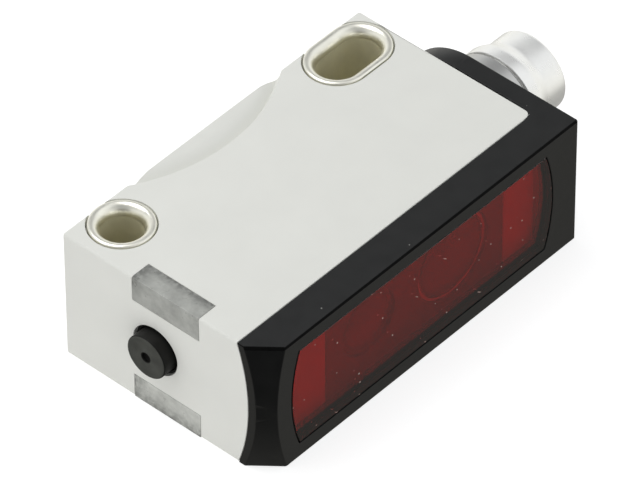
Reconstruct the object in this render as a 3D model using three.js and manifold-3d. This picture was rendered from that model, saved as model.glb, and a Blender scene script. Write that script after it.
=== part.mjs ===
// Miniature photoelectric sensor with a red window, a teach button and an M8 plug.
// Units are millimetres. +X points to the plug, the window looks along -Y and +Z is up
// through the wide side. The origin is the centre of the lower wide face.
import * as THREE from 'three';
import { mergeVertices } from 'three/addons/utils/BufferGeometryUtils.js';
import Module from 'manifold-3d';

const wasm = await Module();
wasm.setup();

// ---------------------------------------------------------------- driving dimensions

const LENGTH = 34;
const DEPTH = 20;
const HEIGHT = 12;
const X_BUTTON_END = -LENGTH / 2;
const X_PLUG_END = LENGTH / 2;
const Y_WINDOW = -DEPTH / 2;
const Y_REAR = DEPTH / 2;
const Z_MID = HEIGHT / 2;

const CLEARANCE = 0.04;
const WALL = 1.1;
const END_WALL = 1.2;
const OVERRUN = 1;

// Pale housing body and the curved seam to the black front cover.
const X_BODY_END = 15.25;
const SEAM_Y_EDGE = -7;
const SEAM_Y_MID = -8.02;
const BODY_CORNER_RADIUS = 0.4;
const COVER_INSIDE_CORNER_RADIUS = 0.45;
const CAVITY_Y_REAR = 4.2;
const POCKET = { xMin: -9.8, xMax: 6.6, yMax: 6.6 };

// Crescent groove in each wide face, turned about a vertical axis behind the rear face.
const CRESCENT = {
  x: -1.8,
  y: 22.95,
  wallRadius: 15.5,
  floorRadius: 15.2,
  floorDepth: 0.7,
  slopeRadius: 14.7,
  slopeDepth: 0.42,
  fadeRadius: 14.2,
  fadeDepth: 0.14,
  endRadius: 13.2,
};

// Black front cover: the plug end is rounded about the plug's axis.
const PLUG_AXIS_Y = 0.4;
const COVER_WALL_FRONT = 1.55;
const COVER_X_CAVITY = { min: -14.9, max: 14.05 };
const BEVEL = { alongX: 0.95, alongY: 1.27, topAlongX: 1.97, topAlongY: 2.35 };

// Red window pane: straight long sides and bowed ends.
const PANE = { xMin: -13.6, xMax: 13.4, zMin: 1.4, zMax: 10.6, bow: 0.82, thickness: 1.2 };
const PANE_LEDGE = 0.3;

// Mounting sleeves for M3 screws.
const SLEEVE = { y: 7.45, flangeRadius: 2.55, tubeRadius: 2.15, boreRadius: 1.63, flange: 0.55, lip: 0.45 };
const ROUND_SLEEVE_X = -13.4;
const SLOT_X = { min: 9.97, max: 12.42 };

// Teach button, its seal and the switch behind it.
const BUTTON = { y: 1, radius: 1.85, proud: 1, edge: 0.28, dimpleRadius: 0.42, dimpleDepth: 0.3 };
const BUTTON_HOLE_RADIUS = 2.15;
const BUTTON_COLLAR = { radius: 2.5, thickness: 0.5 };
const BUTTON_STEM = { radius: 0.8, xTip: -14.8 };
const BUTTON_SEAL = { xMin: -16.7, xMax: -16.1, innerRadius: 1.9 };
const SWITCH = { xMin: -14, xMax: -12.25, width: 3.4, height: 3.4, pocketDepth: 0.7 };
const PLUNGER = { radius: 0.6, xMin: -14.76, length: 0.9 };

// Light guides at the two edges of the button end.
const GUIDE = { yMin: -3.35, yMax: 3.15, depthX: 1.8, depthZ: 2.25 };
const GUIDE_TONGUE = { halfWidth: 2.6, xMax: -10.8, zMin: 9.4, zMax: 10.7 };
const GUIDE_FOOT = { xMin: -12, zMin: 7.15 };

// Optics behind the window.
const OPTICS_FRONT_Y = -7.9;
const CARRIER_FLANGE = { xMin: -9.25, xMax: 10.25, zMin: 1.4, zMax: 10.6, thickness: 0.8 };
const CARRIER_BLOCK = { xMin: -8.2, xMax: 9.2, yMax: -1.95, zMin: 1.9, zMax: 10.1 };
const FRAME = { xMin: -14.3, xMax: 13.7, yMax: -6.2, rail: 0.5 };
const RECEIVER = { x: 4.7, lensRadius: 3.85, tunnelRadius: 3.4, rearHalf: 1.6, coneEndRadius: 1.92 };
const EMITTER = { x: -4.6, lensRadius: 2.85, tunnelRadius: 2.4, rearHalf: 1.15, coneEndRadius: 1.38 };
const RECEIVER_CHIP = { half: 1.2, thickness: 0.7, domeRadius: 0.8, domeTopRadius: 0.56 };
const EMITTER_CHIP = { half: 0.8, thickness: 0.6, domeRadius: 0.6, domeTopRadius: 0.42 };
const LENS = { rim: 0.45, crown: 0.55, seatDepth: 0.75, relief: 0.12 };
const OPTICS_BOARD = { xMin: -8.6, xMax: 9.4, yMin: -1.9, thickness: 0.8, zMin: 1.5, zMax: 10.5 };

// Main circuit board across the middle of the body.
const BOARD = { xMin: -12.2, xMax: 12.9, yMin: -1.05, yMax: 4, zMin: 5.6, zMax: 6.4 };
const BOARD_HEAD = { xMax: -9.4, yMin: -3.2 };
const BOARD_TAB = { xMin: -9.5, xMax: 6.3, yMax: 6.3 };

// What sits on the main board: centre [x, y], size [length, width, height] and board side.
const UPPER = 1;
const LOWER = -1;
const SHIELD = { centre: [-3, 2.7], size: [6.4, 5.2, 2], sheet: 0.2 };
const COMPONENTS = {
  signal_processor: { centre: [-3, 2.7], size: [4, 4, 0.9], side: UPPER, finish: 'chip' },
  voltage_regulator: { centre: [-5.5, 2.4], size: [4.5, 2.5, 1.5], side: LOWER, finish: 'chip' },
  output_transistor_1: { centre: [1, 3], size: [2.9, 1.5, 1.1], side: LOWER, finish: 'chip' },
  output_transistor_2: { centre: [5, 3], size: [2.9, 1.5, 1.1], side: LOWER, finish: 'chip' },
  storage_capacitor: { centre: [4, 1.7], size: [3.5, 2.8, 1.9], side: UPPER, finish: 'tantalum' },
  surge_suppressor: { centre: [8.2, 1.5], size: [2.6, 3.8, 2], side: UPPER, finish: 'chip' },
};
const STATUS_LED = { x: -11.4, size: [0.8, 1.6, 0.6] };
const STATUS_LED_Y = { green: -1.7, yellow: 1.7 };

// M8 plug.
const PLUG = {
  tipX: 24.1,
  shankRadius: 3.2,
  collarRadius: 3.8,
  collarEndX: 19.8,
  lipRadius: 3.87,
  lipX: 19.95,
  coneX: 20.85,
  coneEndX: 22,
  barrelRadius: 3.4,
  boreRadius: 2.95,
  flangeRadius: 3.7,
  flangeX: 13,
  flangeEndX: 13.95,
  edge: 0.25,
};
const PLUG_GROOVE = { xMin: 15.8, xMax: 16.4, radius: 3.07 };
const INSULATOR = { xMin: 13.4, xMax: 20.4, keyWidth: 0.9, keyDepth: 0.5, keyLength: 2.5 };
const PIN = { radius: 0.5, circleRadius: 1.35, xMin: 11.3, xMax: 23.2, tip: 0.35 };
const PIN_COUNT = 4;

const SEGMENTS = { large: 40, medium: 24, small: 16 };
const SEAM_SEGMENTS = 120;
const BOW_SEGMENTS = 8;
const STADIUM_SEGMENTS = 10;
const LIP_STEPS = 3;
const EDGE_STEPS = 3;
const CROWN_STEPS = 4;

// ---------------------------------------------------------------- solids and joins

function solidOf(geometry) {
  geometry.deleteAttribute('normal');
  geometry.deleteAttribute('uv');
  const merged = mergeVertices(geometry);
  const index = merged.index.array;
  const triangles = [];
  for (let i = 0; i < index.length; i += 3) {
    const [a, b, c] = [index[i], index[i + 1], index[i + 2]];
    if (a !== b && b !== c && c !== a) triangles.push(a, b, c);
  }
  return new wasm.Manifold(new wasm.Mesh({
    numProp: 3,
    vertProperties: Float32Array.from(merged.attributes.position.array),
    triVerts: Uint32Array.from(triangles),
  }));
}

function geometryOf(solid) {
  const mesh = solid.getMesh();
  const geometry = new THREE.BufferGeometry();
  geometry.setAttribute('position', new THREE.BufferAttribute(mesh.vertProperties, mesh.numProp));
  geometry.setIndex(new THREE.BufferAttribute(mesh.triVerts, 1));
  geometry.computeVertexNormals();
  return geometry;
}

function join(...solids) {
  return solids.reduce((whole, next) => whole.add(next));
}

function cut(solid, ...tools) {
  return tools.reduce((rest, tool) => rest.subtract(tool), solid);
}

// A box between two limits on each axis.
function block([x0, x1], [y0, y1], [z0, z1]) {
  const geometry = new THREE.BoxGeometry(x1 - x0, y1 - y0, z1 - z0);
  geometry.translate((x0 + x1) / 2, (y0 + y1) / 2, (z0 + z1) / 2);
  return solidOf(geometry);
}

// A round rod along X, centred on (y, z).
function rodX([x0, x1], y, z, radius, segments = SEGMENTS.medium) {
  const geometry = new THREE.CylinderGeometry(radius, radius, x1 - x0, segments);
  geometry.rotateZ(Math.PI / 2);
  geometry.translate((x0 + x1) / 2, y, z);
  return solidOf(geometry);
}

// A round rod or cone along Y; frontRadius is at the -Y end.
function coneY([y0, y1], x, z, frontRadius, rearRadius, segments = SEGMENTS.medium) {
  const geometry = new THREE.CylinderGeometry(rearRadius, frontRadius, y1 - y0, segments);
  geometry.translate(x, (y0 + y1) / 2, z);
  return solidOf(geometry);
}

// A profile of [radius, distance] pairs turned about an axis that points along +X.
function turnedX(profile, y, z, segments = SEGMENTS.medium) {
  const points = profile.map(([radius, distance]) => new THREE.Vector2(radius, distance));
  const geometry = new THREE.LatheGeometry(points, segments);
  geometry.rotateZ(-Math.PI / 2);
  geometry.translate(0, y, z);
  return solidOf(geometry);
}

// The same about an axis that points along +Y.
function turnedY(profile, x, z, segments = SEGMENTS.medium) {
  const points = profile.map(([radius, distance]) => new THREE.Vector2(radius, distance));
  const geometry = new THREE.LatheGeometry(points, segments);
  geometry.translate(x, 0, z);
  return solidOf(geometry);
}

// The same about an axis that points along +Z.
function turnedZ(profile, x, y, segments = SEGMENTS.medium) {
  const points = profile.map(([radius, distance]) => new THREE.Vector2(radius, distance));
  const geometry = new THREE.LatheGeometry(points, segments);
  geometry.rotateX(Math.PI / 2);
  geometry.translate(x, y, 0);
  return solidOf(geometry);
}

// An outline in X and Y raised from z0 to z1.
function raised(shape, [z0, z1], curveSegments = BOW_SEGMENTS) {
  const geometry = new THREE.ExtrudeGeometry(shape, { depth: z1 - z0, bevelEnabled: false, curveSegments });
  geometry.translate(0, 0, z0);
  return solidOf(geometry);
}

// An outline in X and Z pushed along Y from y0 to y1.
function pushedY(shape, [y0, y1], curveSegments = BOW_SEGMENTS) {
  const geometry = new THREE.ExtrudeGeometry(shape, { depth: y1 - y0, bevelEnabled: false, curveSegments });
  geometry.rotateX(Math.PI / 2);
  geometry.translate(0, y1, 0);
  return solidOf(geometry);
}

function mirroredInZ(solid) {
  return solid.mirror([0, 0, 1]).translate([0, 0, HEIGHT]);
}

// ---------------------------------------------------------------- outlines

// A stadium: two half circles joined by straight sides, along X.
function stadium(xMin, xMax, y, radius) {
  const shape = new THREE.Shape();
  shape.absarc(xMax, y, radius, -Math.PI / 2, Math.PI / 2, false);
  shape.absarc(xMin, y, radius, Math.PI / 2, Math.PI * 1.5, false);
  shape.closePath();
  return shape;
}

function boreOutline(sleeve, radius) {
  return stadium(sleeve.xMin, sleeve.xMax, SLEEVE.y, radius);
}

// Window outline in X and Z, grown or shrunk by margin, with ends bowed outwards.
function paneOutline(margin) {
  const x0 = PANE.xMin - margin;
  const x1 = PANE.xMax + margin;
  const z0 = PANE.zMin - margin;
  const z1 = PANE.zMax + margin;
  const halfHeight = (z1 - z0) / 2;
  const radius = (halfHeight ** 2 + PANE.bow ** 2) / (2 * PANE.bow);
  const halfAngle = Math.asin(halfHeight / radius);
  const centre = radius - PANE.bow;
  const shape = new THREE.Shape();
  shape.absarc(x1 - centre, Z_MID, radius, -halfAngle, halfAngle, false);
  shape.absarc(x0 + centre, Z_MID, radius, Math.PI - halfAngle, Math.PI + halfAngle, false);
  shape.closePath();
  return shape;
}

// Housing outline in X and Y with rounded rear corners and a rounded corner at the cover's elbow.
function bodyOutline(margin) {
  const x0 = X_BUTTON_END;
  const x1 = X_BODY_END + margin;
  const y0 = SEAM_Y_EDGE - margin;
  const y1 = Y_REAR;
  const rear = BODY_CORNER_RADIUS;
  const elbow = COVER_INSIDE_CORNER_RADIUS;
  const shape = new THREE.Shape();
  shape.moveTo(x0, y0);
  shape.lineTo(x1 - elbow, y0);
  shape.absarc(x1 - elbow, y0 + elbow, elbow, -Math.PI / 2, 0, false);
  shape.lineTo(x1, y1 - rear);
  shape.absarc(x1 - rear, y1 - rear, rear, 0, Math.PI / 2, false);
  shape.lineTo(x0 + rear, y1);
  shape.absarc(x0 + rear, y1 - rear, rear, Math.PI / 2, Math.PI, false);
  shape.closePath();
  return shape;
}

// ---------------------------------------------------------------- shared forms

const fullX = [X_BUTTON_END - OVERRUN, X_PLUG_END + OVERRUN];
const fullZ = [-OVERRUN, HEIGHT + OVERRUN];

// Everything behind the seam, whose front is a barrel lying along X.
function behindSeam(gap) {
  const sagitta = SEAM_Y_EDGE - SEAM_Y_MID;
  const radius = (Z_MID ** 2 + sagitta ** 2) / (2 * sagitta);
  const barrel = rodX(fullX, SEAM_Y_MID + radius, Z_MID, radius + gap, SEAM_SEGMENTS);
  return join(barrel, block(fullX, [0, Y_REAR + OVERRUN], fullZ)).intersect(block(fullX, fullX, fullZ));
}

// The outside of the pale body as one solid, grown by gap towards the cover.
function bodyEnvelope(gap) {
  const front = block([X_BUTTON_END, X_BODY_END - OVERRUN], [Y_WINDOW, 0], [0, HEIGHT]);
  const outline = raised(bodyOutline(gap), [0, HEIGHT]);
  return join(outline, front).intersect(behindSeam(gap));
}

// A mounting sleeve or its hole: a tube with a flange at each wide face.
function sleeveForm(span, grow) {
  const flange = boreOutline(span, SLEEVE.flangeRadius + grow);
  const tube = boreOutline(span, SLEEVE.tubeRadius + grow);
  const depth = SLEEVE.flange + grow;
  return join(
    raised(tube, [0, HEIGHT], STADIUM_SEGMENTS),
    raised(flange, [0, depth], STADIUM_SEGMENTS),
    raised(flange, [HEIGHT - depth, HEIGHT], STADIUM_SEGMENTS),
  );
}

const roundSpan = { xMin: ROUND_SLEEVE_X, xMax: ROUND_SLEEVE_X };
const slotSpan = { xMin: SLOT_X.min, xMax: SLOT_X.max };

// ---------------------------------------------------------------- housing

function housingBody() {
  const inside = [WALL, HEIGHT - WALL];
  const cavity = join(
    block([X_BUTTON_END + END_WALL, X_BODY_END - END_WALL], [Y_WINDOW, CAVITY_Y_REAR], inside),
    block([POCKET.xMin, POCKET.xMax], [0, POCKET.yMax], inside),
  );
  const buttonHole = rodX(
    [X_BUTTON_END - OVERRUN, X_BUTTON_END + END_WALL + OVERRUN], BUTTON.y, Z_MID, BUTTON_HOLE_RADIUS,
  );
  const plugHole = rodX(
    [X_BODY_END - 2 * END_WALL, X_PLUG_END], PLUG_AXIS_Y, Z_MID, PLUG.shankRadius + CLEARANCE,
  );
  const guidePocket = block(
    [X_BUTTON_END - OVERRUN, X_BUTTON_END + GUIDE.depthX],
    [GUIDE.yMin, GUIDE.yMax],
    [HEIGHT - GUIDE.depthZ, HEIGHT + OVERRUN],
  );
  const crescent = crescentGroove();
  return cut(
    bodyEnvelope(0),
    cavity,
    buttonHole,
    plugHole,
    guidePocket,
    mirroredInZ(guidePocket),
    crescent,
    mirroredInZ(crescent),
    sleeveForm(roundSpan, CLEARANCE),
    sleeveForm(slotSpan, CLEARANCE),
  );
}

// Groove with a steep wall on the outside of its bend and a floor that fades out towards the rear.
function crescentGroove() {
  const c = CRESCENT;
  const profile = [
    [c.endRadius, HEIGHT],
    [c.fadeRadius, HEIGHT - c.fadeDepth],
    [c.slopeRadius, HEIGHT - c.slopeDepth],
    [c.floorRadius, HEIGHT - c.floorDepth],
    [c.wallRadius, HEIGHT],
    [c.wallRadius, HEIGHT + OVERRUN],
    [c.endRadius, HEIGHT + OVERRUN],
    [c.endRadius, HEIGHT],
  ];
  return turnedZ(profile, c.x, c.y, SEAM_SEGMENTS);
}

// The button-end corner is cut back by a barrel, so the chamfer is narrow at mid-height.
function bevelTool() {
  const across = new THREE.Vector2(BEVEL.alongX, -BEVEL.alongY);
  const midReach = (BEVEL.alongX * BEVEL.alongY) / across.length();
  const topLength = Math.hypot(BEVEL.topAlongX, BEVEL.topAlongY);
  const topReach = (BEVEL.topAlongX * BEVEL.topAlongY) / topLength;
  const sagitta = topReach - midReach;
  const radius = (Z_MID ** 2 + sagitta ** 2) / (2 * sagitta);
  const inward = new THREE.Vector3(BEVEL.topAlongY, BEVEL.topAlongX, 0).normalize();
  const corner = new THREE.Vector3(X_BUTTON_END, Y_WINDOW, Z_MID);
  const centre = corner.clone().addScaledVector(inward, midReach + radius);
  const barrel = new THREE.CylinderGeometry(radius, radius, DEPTH, SEAM_SEGMENTS);
  barrel.rotateZ(Math.atan2(inward.y, inward.x));
  barrel.translate(centre.x, centre.y, centre.z);
  const cornerBlock = block(
    [X_BUTTON_END - OVERRUN, X_BUTTON_END + 2 * BEVEL.topAlongX],
    [Y_WINDOW - OVERRUN, Y_WINDOW + 2 * BEVEL.topAlongY],
    fullZ,
  );
  return cornerBlock.subtract(solidOf(barrel));
}

function frontCover() {
  const plugSide = [X_BODY_END - OVERRUN, X_PLUG_END];
  const cap = block([X_BUTTON_END, X_PLUG_END], [Y_WINDOW, SEAM_Y_EDGE + OVERRUN], [0, HEIGHT]);
  const ear = join(
    block(plugSide, [Y_WINDOW, PLUG_AXIS_Y], [0, HEIGHT]),
    rodX(plugSide, PLUG_AXIS_Y, Z_MID, Z_MID, SEGMENTS.large),
  );
  const rearWorld = join(
    bodyEnvelope(CLEARANCE),
    block([X_BUTTON_END - OVERRUN, X_BODY_END], [SEAM_Y_EDGE + CLEARANCE, Y_REAR], fullZ),
  );
  const trimmed = cut(join(cap, ear), rearWorld);
  const cavity = block(
    [COVER_X_CAVITY.min, COVER_X_CAVITY.max],
    [Y_WINDOW + COVER_WALL_FRONT, 0],
    [WALL, HEIGHT - WALL],
  );
  const rebate = pushedY(paneOutline(CLEARANCE), [Y_WINDOW - OVERRUN, Y_WINDOW + PANE.thickness + CLEARANCE]);
  const opening = pushedY(paneOutline(-PANE_LEDGE), [Y_WINDOW, Y_WINDOW + 2 * COVER_WALL_FRONT]);
  const plugHole = rodX(
    [X_BODY_END - OVERRUN, X_PLUG_END + OVERRUN], PLUG_AXIS_Y, Z_MID, PLUG.shankRadius + CLEARANCE,
  );
  return cut(trimmed, cavity, rebate, opening, plugHole, bevelTool());
}

function windowPane() {
  return pushedY(paneOutline(0), [Y_WINDOW, Y_WINDOW + PANE.thickness]);
}

// Pressed sleeve with a rolled lip at each mouth.
function mountingSleeve(span) {
  const bore = raised(boreOutline(span, SLEEVE.boreRadius), fullZ, STADIUM_SEGMENTS);
  const mouths = [];
  for (let step = 0; step < LIP_STEPS; step += 1) {
    const angle = (step + 0.5) / LIP_STEPS * Math.PI / 2;
    const grow = SLEEVE.lip * (1 - Math.cos(angle));
    const depth = SLEEVE.lip * (1 - Math.sin(angle));
    const outline = boreOutline(span, SLEEVE.boreRadius + grow);
    const mouth = raised(outline, [HEIGHT - depth, HEIGHT + OVERRUN], STADIUM_SEGMENTS);
    mouths.push(mouth, mirroredInZ(mouth));
  }
  return cut(sleeveForm(span, 0), bore, ...mouths);
}

// ---------------------------------------------------------------- button and switch

function teachButton() {
  const face = X_BUTTON_END - BUTTON.proud;
  const collarX = X_BUTTON_END + END_WALL + CLEARANCE;
  const profile = [[0, face + BUTTON.dimpleDepth]];
  profile.push([BUTTON.dimpleRadius, face + BUTTON.dimpleDepth]);
  profile.push([BUTTON.dimpleRadius, face]);
  for (let step = 0; step <= EDGE_STEPS; step += 1) {
    const angle = (step / EDGE_STEPS) * (Math.PI / 2);
    profile.push([
      BUTTON.radius - BUTTON.edge * (1 - Math.sin(angle)),
      face + BUTTON.edge * (1 - Math.cos(angle)),
    ]);
  }
  profile.push([BUTTON.radius, collarX]);
  profile.push([BUTTON_COLLAR.radius, collarX]);
  profile.push([BUTTON_COLLAR.radius, collarX + BUTTON_COLLAR.thickness]);
  profile.push([BUTTON_STEM.radius, collarX + BUTTON_COLLAR.thickness]);
  profile.push([BUTTON_STEM.radius, BUTTON_STEM.xTip]);
  profile.push([0, BUTTON_STEM.xTip]);
  return turnedX(profile, BUTTON.y, Z_MID, SEGMENTS.large);
}

function buttonSeal() {
  const span = [BUTTON_SEAL.xMin, BUTTON_SEAL.xMax];
  const ring = rodX(span, BUTTON.y, Z_MID, BUTTON_HOLE_RADIUS - CLEARANCE / 2);
  return ring.subtract(rodX(fullX, BUTTON.y, Z_MID, BUTTON_SEAL.innerRadius));
}

function tactSwitch() {
  const halfWidth = SWITCH.width / 2;
  const halfHeight = SWITCH.height / 2;
  const can = block(
    [SWITCH.xMin, SWITCH.xMax],
    [BUTTON.y - halfWidth, BUTTON.y + halfWidth],
    [Z_MID - halfHeight, Z_MID + halfHeight],
  );
  const pocket = rodX(
    [SWITCH.xMin - OVERRUN, SWITCH.xMin + SWITCH.pocketDepth],
    BUTTON.y, Z_MID, PLUNGER.radius + 2 * CLEARANCE, SEGMENTS.small,
  );
  return can.subtract(pocket);
}

function switchPlunger() {
  return rodX(
    [PLUNGER.xMin, PLUNGER.xMin + PLUNGER.length], BUTTON.y, Z_MID, PLUNGER.radius, SEGMENTS.small,
  );
}

// ---------------------------------------------------------------- light guides

function upperLightGuide() {
  const x0 = X_BUTTON_END;
  const x1 = X_BUTTON_END + GUIDE.depthX - CLEARANCE;
  const tongueWidth = [-GUIDE_TONGUE.halfWidth, GUIDE_TONGUE.halfWidth];
  const width = [GUIDE.yMin + CLEARANCE, GUIDE.yMax - CLEARANCE];
  return join(
    block([x0, x1], width, [HEIGHT - GUIDE.depthZ + CLEARANCE, HEIGHT]),
    block([x1 - CLEARANCE, GUIDE_TONGUE.xMax], tongueWidth, [GUIDE_TONGUE.zMin, GUIDE_TONGUE.zMax]),
    block(
      [GUIDE_FOOT.xMin, GUIDE_TONGUE.xMax],
      tongueWidth,
      [GUIDE_FOOT.zMin, GUIDE_TONGUE.zMin + CLEARANCE],
    ),
  );
}

function lowerLightGuide() {
  return mirroredInZ(upperLightGuide());
}

// ---------------------------------------------------------------- optics

// A plano-convex lens with a flat rim; the crown faces the window.
function lens(optic) {
  const rimRadius = optic.lensRadius - CLEARANCE;
  const crownRadius = optic.tunnelRadius;
  const rear = OPTICS_FRONT_Y + LENS.seatDepth - CLEARANCE;
  const front = rear - LENS.rim;
  const profile = [[0, rear], [rimRadius, rear], [rimRadius, front], [crownRadius, front]];
  for (let step = 1; step <= CROWN_STEPS; step += 1) {
    const radius = crownRadius * (1 - step / CROWN_STEPS);
    const height = LENS.crown * (1 - (radius / crownRadius) ** 2);
    profile.push([radius, front - height]);
  }
  return turnedY(profile.reverse(), optic.x, Z_MID, SEGMENTS.medium);
}

// Straight seat for the lens and a cone that narrows to the chip.
function opticTunnel(optic) {
  const half = optic.rearHalf;
  const seat = [OPTICS_FRONT_Y - OVERRUN, OPTICS_FRONT_Y + LENS.seatDepth];
  const coneEnd = CARRIER_BLOCK.yMax - LENS.seatDepth;
  return join(
    coneY(seat, optic.x, Z_MID, optic.lensRadius, optic.lensRadius),
    coneY([seat[1] - CLEARANCE, coneEnd], optic.x, Z_MID, optic.tunnelRadius, optic.coneEndRadius),
    block(
      [optic.x - half, optic.x + half],
      [coneEnd - OVERRUN / 2, CARRIER_BLOCK.yMax + OVERRUN],
      [Z_MID - half, Z_MID + half],
    ),
  );
}

function opticsCarrier() {
  const flange = block(
    [CARRIER_FLANGE.xMin, CARRIER_FLANGE.xMax],
    [OPTICS_FRONT_Y, OPTICS_FRONT_Y + CARRIER_FLANGE.thickness],
    [CARRIER_FLANGE.zMin, CARRIER_FLANGE.zMax],
  );
  const barrel = block(
    [CARRIER_BLOCK.xMin, CARRIER_BLOCK.xMax],
    [OPTICS_FRONT_Y + CARRIER_FLANGE.thickness - CLEARANCE, CARRIER_BLOCK.yMax],
    [CARRIER_BLOCK.zMin, CARRIER_BLOCK.zMax],
  );
  return cut(join(flange, barrel), opticTunnel(EMITTER), opticTunnel(RECEIVER));
}

// Pale frame around the carrier, with a solid pad at each end behind the window.
function opticsFrame() {
  const railY = OPTICS_FRONT_Y + CARRIER_FLANGE.thickness + CLEARANCE;
  const height = [CARRIER_FLANGE.zMin, CARRIER_FLANGE.zMax];
  const pads = join(
    block([FRAME.xMin, CARRIER_FLANGE.xMin - CLEARANCE], [OPTICS_FRONT_Y, FRAME.yMax], height),
    block([CARRIER_FLANGE.xMax + CLEARANCE, FRAME.xMax], [OPTICS_FRONT_Y, FRAME.yMax], height),
  );
  const ring = block([FRAME.xMin, FRAME.xMax], [railY, FRAME.yMax], height);
  const hole = block(
    [CARRIER_BLOCK.xMin - CLEARANCE, CARRIER_BLOCK.xMax + CLEARANCE],
    [OPTICS_FRONT_Y - OVERRUN, FRAME.yMax + OVERRUN],
    [CARRIER_BLOCK.zMin - CLEARANCE, CARRIER_BLOCK.zMax + CLEARANCE],
  );
  return join(pads, ring).subtract(hole);
}

function opticsBoard() {
  return block(
    [OPTICS_BOARD.xMin, OPTICS_BOARD.xMax],
    [OPTICS_BOARD.yMin, OPTICS_BOARD.yMin + OPTICS_BOARD.thickness],
    [OPTICS_BOARD.zMin, OPTICS_BOARD.zMax],
  );
}

// A chip on the optics board that looks towards the window.
function opticChip(optic, chip) {
  const { half, thickness, domeRadius, domeTopRadius } = chip;
  const rear = OPTICS_BOARD.yMin - CLEARANCE / 2;
  const base = block(
    [optic.x - half, optic.x + half], [rear - thickness, rear], [Z_MID - half, Z_MID + half],
  );
  const dome = coneY(
    [rear - thickness - domeRadius / 2, rear - thickness / 2],
    optic.x, Z_MID, domeTopRadius, domeRadius, SEGMENTS.small,
  );
  return join(base, dome);
}

// ---------------------------------------------------------------- electronics

function mainBoard() {
  const thickness = [BOARD.zMin, BOARD.zMax];
  return join(
    block([BOARD.xMin, BOARD.xMax], [BOARD.yMin, BOARD.yMax], thickness),
    block([BOARD.xMin, BOARD_HEAD.xMax], [BOARD_HEAD.yMin, BOARD.yMax], thickness),
    block([BOARD_TAB.xMin, BOARD_TAB.xMax], [0, BOARD_TAB.yMax], thickness),
  );
}

// A component of [length, width, height] on the upper or lower side of the main board.
function onBoard([x, y], [length, width, height], side) {
  const gap = CLEARANCE / 2;
  const z = side > 0 ? [BOARD.zMax + gap, BOARD.zMax + height] : [BOARD.zMin - height, BOARD.zMin - gap];
  return block([x - length / 2, x + length / 2], [y - width / 2, y + width / 2], z);
}

function shieldCan() {
  const [length, width, height] = SHIELD.size;
  const inner = [length - 2 * SHIELD.sheet, width - 2 * SHIELD.sheet, height - SHIELD.sheet];
  const hollow = onBoard(SHIELD.centre, inner, UPPER);
  const mouth = hollow.translate([0, 0, -CLEARANCE]);
  return cut(onBoard(SHIELD.centre, SHIELD.size, UPPER), hollow, mouth);
}

// ---------------------------------------------------------------- plug

function plugShell() {
  const p = PLUG;
  const collarX = X_PLUG_END + CLEARANCE;
  const profile = [
    [p.boreRadius, p.flangeX],
    [p.flangeRadius, p.flangeX],
    [p.flangeRadius, p.flangeEndX],
    [p.shankRadius, p.flangeEndX],
    [p.shankRadius, PLUG_GROOVE.xMin],
    [PLUG_GROOVE.radius, PLUG_GROOVE.xMin],
    [PLUG_GROOVE.radius, PLUG_GROOVE.xMax],
    [p.shankRadius, PLUG_GROOVE.xMax],
    [p.shankRadius, collarX],
    [p.collarRadius, collarX],
    [p.collarRadius, p.collarEndX],
    [p.collarRadius - p.edge, p.collarEndX],
    [p.collarRadius - p.edge, p.lipX],
    [p.lipRadius, p.lipX],
    [p.lipRadius, p.coneX],
    [p.barrelRadius, p.coneEndX],
    [p.barrelRadius, p.tipX - p.edge],
    [p.barrelRadius - p.edge, p.tipX],
    [p.boreRadius, p.tipX],
    [p.boreRadius, p.flangeX],
  ];
  return turnedX(profile, PLUG_AXIS_Y, Z_MID, SEGMENTS.large);
}

function plugSeal() {
  const inner = PLUG_GROOVE.radius + CLEARANCE / 2;
  const outer = PLUG.shankRadius + CLEARANCE / 2;
  const x0 = PLUG_GROOVE.xMin + CLEARANCE;
  const x1 = PLUG_GROOVE.xMax - CLEARANCE;
  return turnedX([[inner, x0], [outer, x0], [outer, x1], [inner, x1], [inner, x0]], PLUG_AXIS_Y, Z_MID);
}

function pinCentres() {
  const centres = [];
  for (let k = 0; k < PIN_COUNT; k += 1) {
    const angle = (k + 0.5) * (2 * Math.PI / PIN_COUNT);
    const across = PIN.circleRadius * Math.cos(angle);
    const up = PIN.circleRadius * Math.sin(angle);
    centres.push([PLUG_AXIS_Y + across, Z_MID + up]);
  }
  return centres;
}

function plugInsulator() {
  const span = [INSULATOR.xMin, INSULATOR.xMax];
  const disc = rodX(span, PLUG_AXIS_Y, Z_MID, PLUG.boreRadius - CLEARANCE / 2);
  const key = block(
    [INSULATOR.xMax - INSULATOR.keyLength, INSULATOR.xMax + OVERRUN],
    [PLUG_AXIS_Y - INSULATOR.keyWidth / 2, PLUG_AXIS_Y + INSULATOR.keyWidth / 2],
    [Z_MID + PLUG.boreRadius - INSULATOR.keyDepth, HEIGHT],
  );
  const holes = pinCentres().map(
    ([y, z]) => rodX(fullX.map((x) => x * 2), y, z, PIN.radius + CLEARANCE / 2, SEGMENTS.small),
  );
  return cut(disc, key, ...holes);
}

function contactPin([y, z]) {
  const profile = [
    [0, PIN.xMin],
    [PIN.radius, PIN.xMin],
    [PIN.radius, PIN.xMax - PIN.tip],
    [PIN.radius * 0.5, PIN.xMax],
    [0, PIN.xMax],
  ];
  return turnedX(profile, y, z, SEGMENTS.small);
}

// ---------------------------------------------------------------- materials and assembly

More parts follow.
